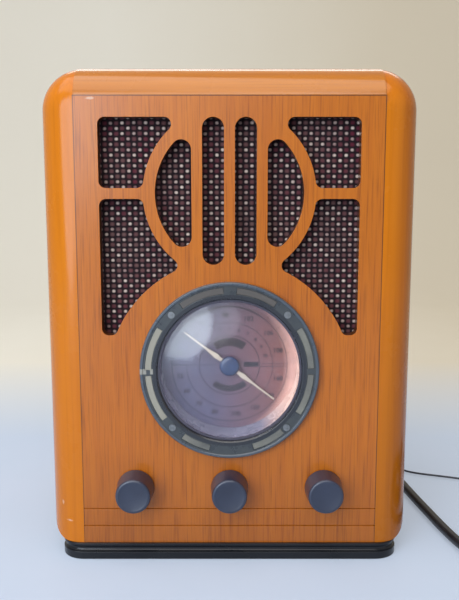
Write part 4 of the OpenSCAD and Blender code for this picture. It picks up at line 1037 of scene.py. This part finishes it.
def ringed(finish, inner, outer, edge_in, edge_out):
    """Darken a round finish inside one radius and lighten it outside another, as a painted
    highlight.
    """
    tree, shader, paint = painted(finish)
    r = from_axis(tree, dial_z)
    middle = blend(tree, spread(tree, r, edge_in, edge_in - 0.0003), paint, inner)
    tint(tree, shader, blend(tree, spread(tree, r, edge_out, edge_out + 0.0003), middle, outer))


bezel_paint = moulded("bezel_paint", (0.022, 0.028, 0.034), (0.040, 0.046, 0.048), 0.24, 110.0,
                      Coat_Weight=0.6, Coat_Roughness=0.10)
# Painted highlight: the bezel's outer band is lightened as if its rim caught the light; its inner
# ring is dark.
ringed(bezel_paint, (0.008, 0.010, 0.016), (0.055, 0.070, 0.090), 0.0496, 0.0552)
tree, shader, paint = painted(bezel_paint)
# A pale strip on the bezel's left edge, with a dark hole in it.
x, _, z = axes(tree)
beside = maths(tree, "ABSOLUTE", minus(tree, z, dial_z))
mark = times(tree, spread(tree, beside, 0.0019, 0.0016), spread(tree, x, -0.0488, -0.0491))
hole = spread(tree, maths(tree, "ABSOLUTE", plus(tree, x, 0.0520)), 0.0014, 0.0011)
mark = maths(tree, "SUBTRACT", mark, hole, clamp=True)
tint(tree, shader, blend(tree, mark, paint, (0.27, 0.26, 0.22)))
inlay_plastic = moulded("inlay_plastic", (0.20, 0.195, 0.165), (0.10, 0.10, 0.092), 0.28, 45.0)
tree, shader, paint = painted(inlay_plastic)
# Painted light and shade: the inlays on the left are lighter, as if lit from the window, those at
# the top darker.
lit_left_inlays = blend(tree, spread(tree, axes(tree)[0], -0.020, -0.045), paint, (0.30, 0.28, 0.225))
shaded_top_inlays = spread(tree, axes(tree)[2], dial_z + 0.034, dial_z + 0.040)
tint(tree, shader, blend(tree, shaded_top_inlays, lit_left_inlays, (0.090, 0.080, 0.072)))
ring_plastic = moulded("ring_plastic", (0.045, 0.040, 0.060), (0.060, 0.052, 0.075), 0.12, 60.0,
                       Coat_Weight=0.5, Coat_Roughness=0.05)
cream = moulded("pointer_cream", (0.52, 0.43, 0.33), (0.46, 0.37, 0.28), 0.3, 90.0)
navy = moulded("hub_navy", (0.010, 0.022, 0.070), (0.014, 0.030, 0.085), 0.16, 90.0,
               Coat_Weight=0.5, Coat_Roughness=0.05)
cord_rubber = moulded("cord_rubber", (0.010, 0.010, 0.012), (0.016, 0.016, 0.019), 0.34, 60.0,
                      grain=0.00003)
plug_rubber = moulded("plug_rubber", (0.012, 0.012, 0.014), (0.02, 0.02, 0.022), 0.42, 60.0,
                      grain=0.00004)
wire_skin = moulded("wire_skin", (0.02, 0.026, 0.04), (0.03, 0.034, 0.05), 0.3, 60.0)
white_tie = moulded("white_tie", (0.72, 0.71, 0.67), (0.64, 0.63, 0.58), 0.4, 200.0)
felt = moulded("felt", (0.05, 0.05, 0.045), (0.08, 0.08, 0.07), 0.85, 300.0, grain=0.00015)
pale_plastic = moulded("pale_plastic", (0.62, 0.60, 0.54), (0.54, 0.52, 0.46), 0.4, 60.0)
board_resin = moulded("board_resin", (0.28, 0.16, 0.05), (0.22, 0.12, 0.035), 0.35, 50.0)
ferrite = moulded("ferrite", (0.04, 0.038, 0.038), (0.06, 0.055, 0.055), 0.5, 120.0, grain=0.00005)
print("moulded finishes done")

# %% Where they go
dress(lacquer, base)
dress(knob_plastic, *knobs)
dress(bezel_paint, bezel)
dress(inlay_plastic, inlays)
dress(ring_plastic, "lens_ring")
dress(cream, hand)
dress(navy, cap)
dress(cord_rubber, mains_cord, "cone_surround")
dress(plug_rubber, plug_body, "strain_relief", "wire_grommet")
dress(wire_skin, aerial_lead)
dress(white_tie, mains_tie, aerial_tie)
dress(felt, "speaker_gasket", "drive_cord")
dress(pale_plastic, "dial_drum", "board_posts")
dress(board_resin, "circuit_board", "band_switch")
dress(ferrite, "speaker_magnet", "aerial_rod")


# %% [markdown]
# ## Metal
# Sheet steel, brass and aluminium inside the set have a brushed or cast surface, so their
# roughness follows a noise, stretched one way where the metal is brushed.

# %% Metals
def brushed(name, colour, second, gloss, scale=(1, 1, 0.04)):
    finish, tree, shader = material(name, Metallic=1.0)
    look = use(tree, smudge, place(tree, scale), Size=400.0)
    tint(tree, shader, blend(tree, look["Mask"], colour, second))
    uneven_gloss(tree, shader, look["Mask"], 0.18, gloss)
    return finish


steel = brushed("plated_steel", (0.56, 0.57, 0.58), (0.48, 0.49, 0.50), 0.28)
dull_steel = brushed("dull_steel", (0.28, 0.29, 0.30), (0.17, 0.18, 0.19), 0.32)
brass = brushed("turned_brass", (0.68, 0.50, 0.22), (0.58, 0.41, 0.16), 0.25)
copper = brushed("copper_wire", (0.62, 0.27, 0.12), (0.5, 0.2, 0.08), 0.35, (1, 1, 1))
alloy = brushed("cast_alloy", (0.66, 0.65, 0.62), (0.55, 0.54, 0.51), 0.4, (1, 1, 1))
dark_iron = moulded("dark_iron", (0.07, 0.075, 0.08), (0.10, 0.10, 0.105), 0.4, 80.0)
dress(dull_steel, "bezel_screws")
dress(steel, "back_screws", "inner_screws", "speaker_basket", "speaker_yoke", "control_bracket",
      "pointer_shaft", "volume_shaft", "band_shaft", "tuning_shaft", "volume_control")
dress(brass, "control_nuts", "tuning_bushing", "plug_pins")
dress(copper, "voice_coil", "transformer_winding")
dress(alloy, "tuning_capacitor", "board_components")
dress(dark_iron, "transformer_core")
print("metals done")


# %% [markdown]
# ## Cloth, paper and the dial
# The cloth takes its dots from the weave group. The dial face is a satin sheet with dark ink. Its
# colour holds painted light: it turns from violet at the left, a painted reflection of the window's
# haze, to rose at the right where the light falls in, with a pale crescent of painted light along
# its right edge.
# The lens is clear but no longer quite smooth, and shadows pass through it as they do through a
# thin window, so that the face behind it is lit.

# %% Cloth finish
speaker_cloth, tree, shader = material("speaker_cloth", Roughness=0.9, Sheen_Weight=0.08,
                                       Specular_IOR_Level=0.15)
knit = use(tree, weave, place(tree))
mottle = use(tree, smudge, place(tree), Size=90.0)
dyed = use(tree, smudge, place(tree, (1, 1, 0.6)), Size=55.0)
thread = blend(tree, dyed["Mask"], (0.120, 0.065, 0.060), (0.095, 0.014, 0.026))
ground = blend(tree, knit["Gaps"], (0.012, 0.006, 0.008), thread)
slub = blend(tree, mottle["Mask"], (0.62, 0.50, 0.42), (0.20, 0.11, 0.11))
tint(tree, shader, blend(tree, knit["Dots"], ground, slub))
bump(tree, shader, knit["Height"], 0.0003, 0.8)
dress(speaker_cloth, cloth)
cone_paper = moulded("cone_paper", (0.03, 0.029, 0.027), (0.045, 0.043, 0.04), 0.75, 90.0,
                     grain=0.00012)
dress(cone_paper, "speaker_cone")
spider_cloth = moulded("spider_cloth", (0.42, 0.24, 0.07), (0.34, 0.19, 0.05), 0.8, 200.0,
                       grain=0.0001)
dress(spider_cloth, "speaker_spider")
print("cloth done")

# %% Dial finishes
dial_sheet, tree, shader = material("dial_sheet", Metallic=0.0)
aged = use(tree, smudge, place(tree), Size=60.0)
face = blend(tree, spread(tree, from_axis(tree, dial_z), 0.012, 0.046), (0.072, 0.060, 0.102),
             (0.095, 0.085, 0.145))
x, _, z = axes(tree)
# Painted light: the face turns rose at the right, where the window's light falls in; its violet at
# the left is a painted reflection of the window's haze on the lens.
face = blend(tree, spread(tree, x, -0.012, 0.034), face, (0.20, 0.070, 0.058))
# Painted light: a pale crescent along the right edge, as if the lit wall of the recess shone on the
# face.
off_centre = squares(tree, plus(tree, x, 0.012), minus(tree, z, dial_z))
painted_light_crescent = spread(tree, maths(tree, "SQRT", off_centre), 0.0475, 0.0562)
face = blend(tree, painted_light_crescent, face, (0.90, 0.52, 0.40))
tint(tree, shader, blend(tree, times(tree, aged["Mask"], 0.35), face, (0.11, 0.065, 0.075)))
uneven_gloss(tree, shader, aged["Mask"], 0.15, 0.32)
dress(dial_sheet, "dial_face")
ink = moulded("dial_ink", (0.016, 0.010, 0.018), (0.026, 0.014, 0.020), 0.45, 200.0)
dress(ink, scale_print, bar_print, dial_numbers)
recess = moulded("recess_paint", (0.22, 0.21, 0.27), (0.18, 0.17, 0.23), 0.22, 80.0)
tree, shader, violet = painted(recess)
# Painted light: the recess wall turns cream on the right, as if the window's light fell on it.
painted_light_right = spread(tree, axes(tree)[0], 0.020, 0.038)
tint(tree, shader, blend(tree, painted_light_right, violet, (0.95, 0.62, 0.48)))
dress(recess, "dial_housing")
print("dial finishes done")


# %% Clear lens
def clear(name, colour, rough):
    """Clear plastic: glass to the eye, but open to shadow rays."""
    finish, tree, shader = material(name, Base_Color=colour, Roughness=rough, IOR=1.45,
                                    Transmission_Weight=1.0)
    paths = add(tree, "ShaderNodeLightPath")
    opened = add(tree, "ShaderNodeBsdfTransparent")
    mix = add(tree, "ShaderNodeMixShader")
    out = tree.nodes["Material Output"]
    tree.links.new(paths.outputs["Is Shadow Ray"], mix.inputs[0])
    tree.links.new(shader.outputs[0], mix.inputs[1])
    tree.links.new(opened.outputs[0], mix.inputs[2])
    tree.links.new(mix.outputs[0], out.inputs["Surface"])
    return finish


dress(clear("clear_lens", (0.96, 0.97, 1.0), 0.12), lens)
dress(clear("lamp_glass", (1.0, 0.9, 0.7), 0.05), "dial_lamps")
print("clear parts done")


# %% [markdown]
# The floor is a pale matt sheet, cool round the radio and warm on the wall, and it keeps the soft
# shadow under the plinth. To the camera, in reflections and through the lens it and the air beyond
# it glow a little. So the background stays pale, and no more light falls on the radio.

# %% Floor
def seen_rays(tree):
    """1 where the camera looks, directly, in a reflection or through the lens."""
    rays = add(tree, "ShaderNodeLightPath").outputs
    return maths(tree, "MAXIMUM", rays["Is Camera Ray"],
                 maths(tree, "MAXIMUM", rays["Is Glossy Ray"], rays["Is Transmission Ray"]))


floor_paint = moulded("floor_paint", (0.30, 0.36, 0.46), (0.33, 0.38, 0.48), 0.6, 6.0)
tree, shader, blue_grey = painted(floor_paint)
x, y, _ = axes(tree)
behind = spread(tree, y, 0.16, 0.50)
# Painted shade: the wall and its glow turn darker and warmer towards the right, away from the
# window.
painted_shade_to_right = spread(tree, x, -0.35, 0.45)
wall = blend(tree, painted_shade_to_right, (0.52, 0.49, 0.42), (0.46, 0.41, 0.32))
tint(tree, shader, blend(tree, behind, blue_grey, wall))
wall_glow = blend(tree, painted_shade_to_right, (0.37, 0.355, 0.315), (0.31, 0.275, 0.215))
glow = blend(tree, behind, (0.26, 0.29, 0.33), wall_glow)
glow = blend(tree, seen_rays(tree), (0.0, 0.0, 0.0), glow)
tree.links.new(glow, shader.inputs["Emission Color"])
shader.inputs["Emission Strength"].default_value = 1.0
dress(floor_paint, room)
air = world.node_tree
air.links.new(plus(air, times(air, seen_rays(air), 0.26), sky_strength), sky.inputs["Strength"])

# %% Finish
print("finished")
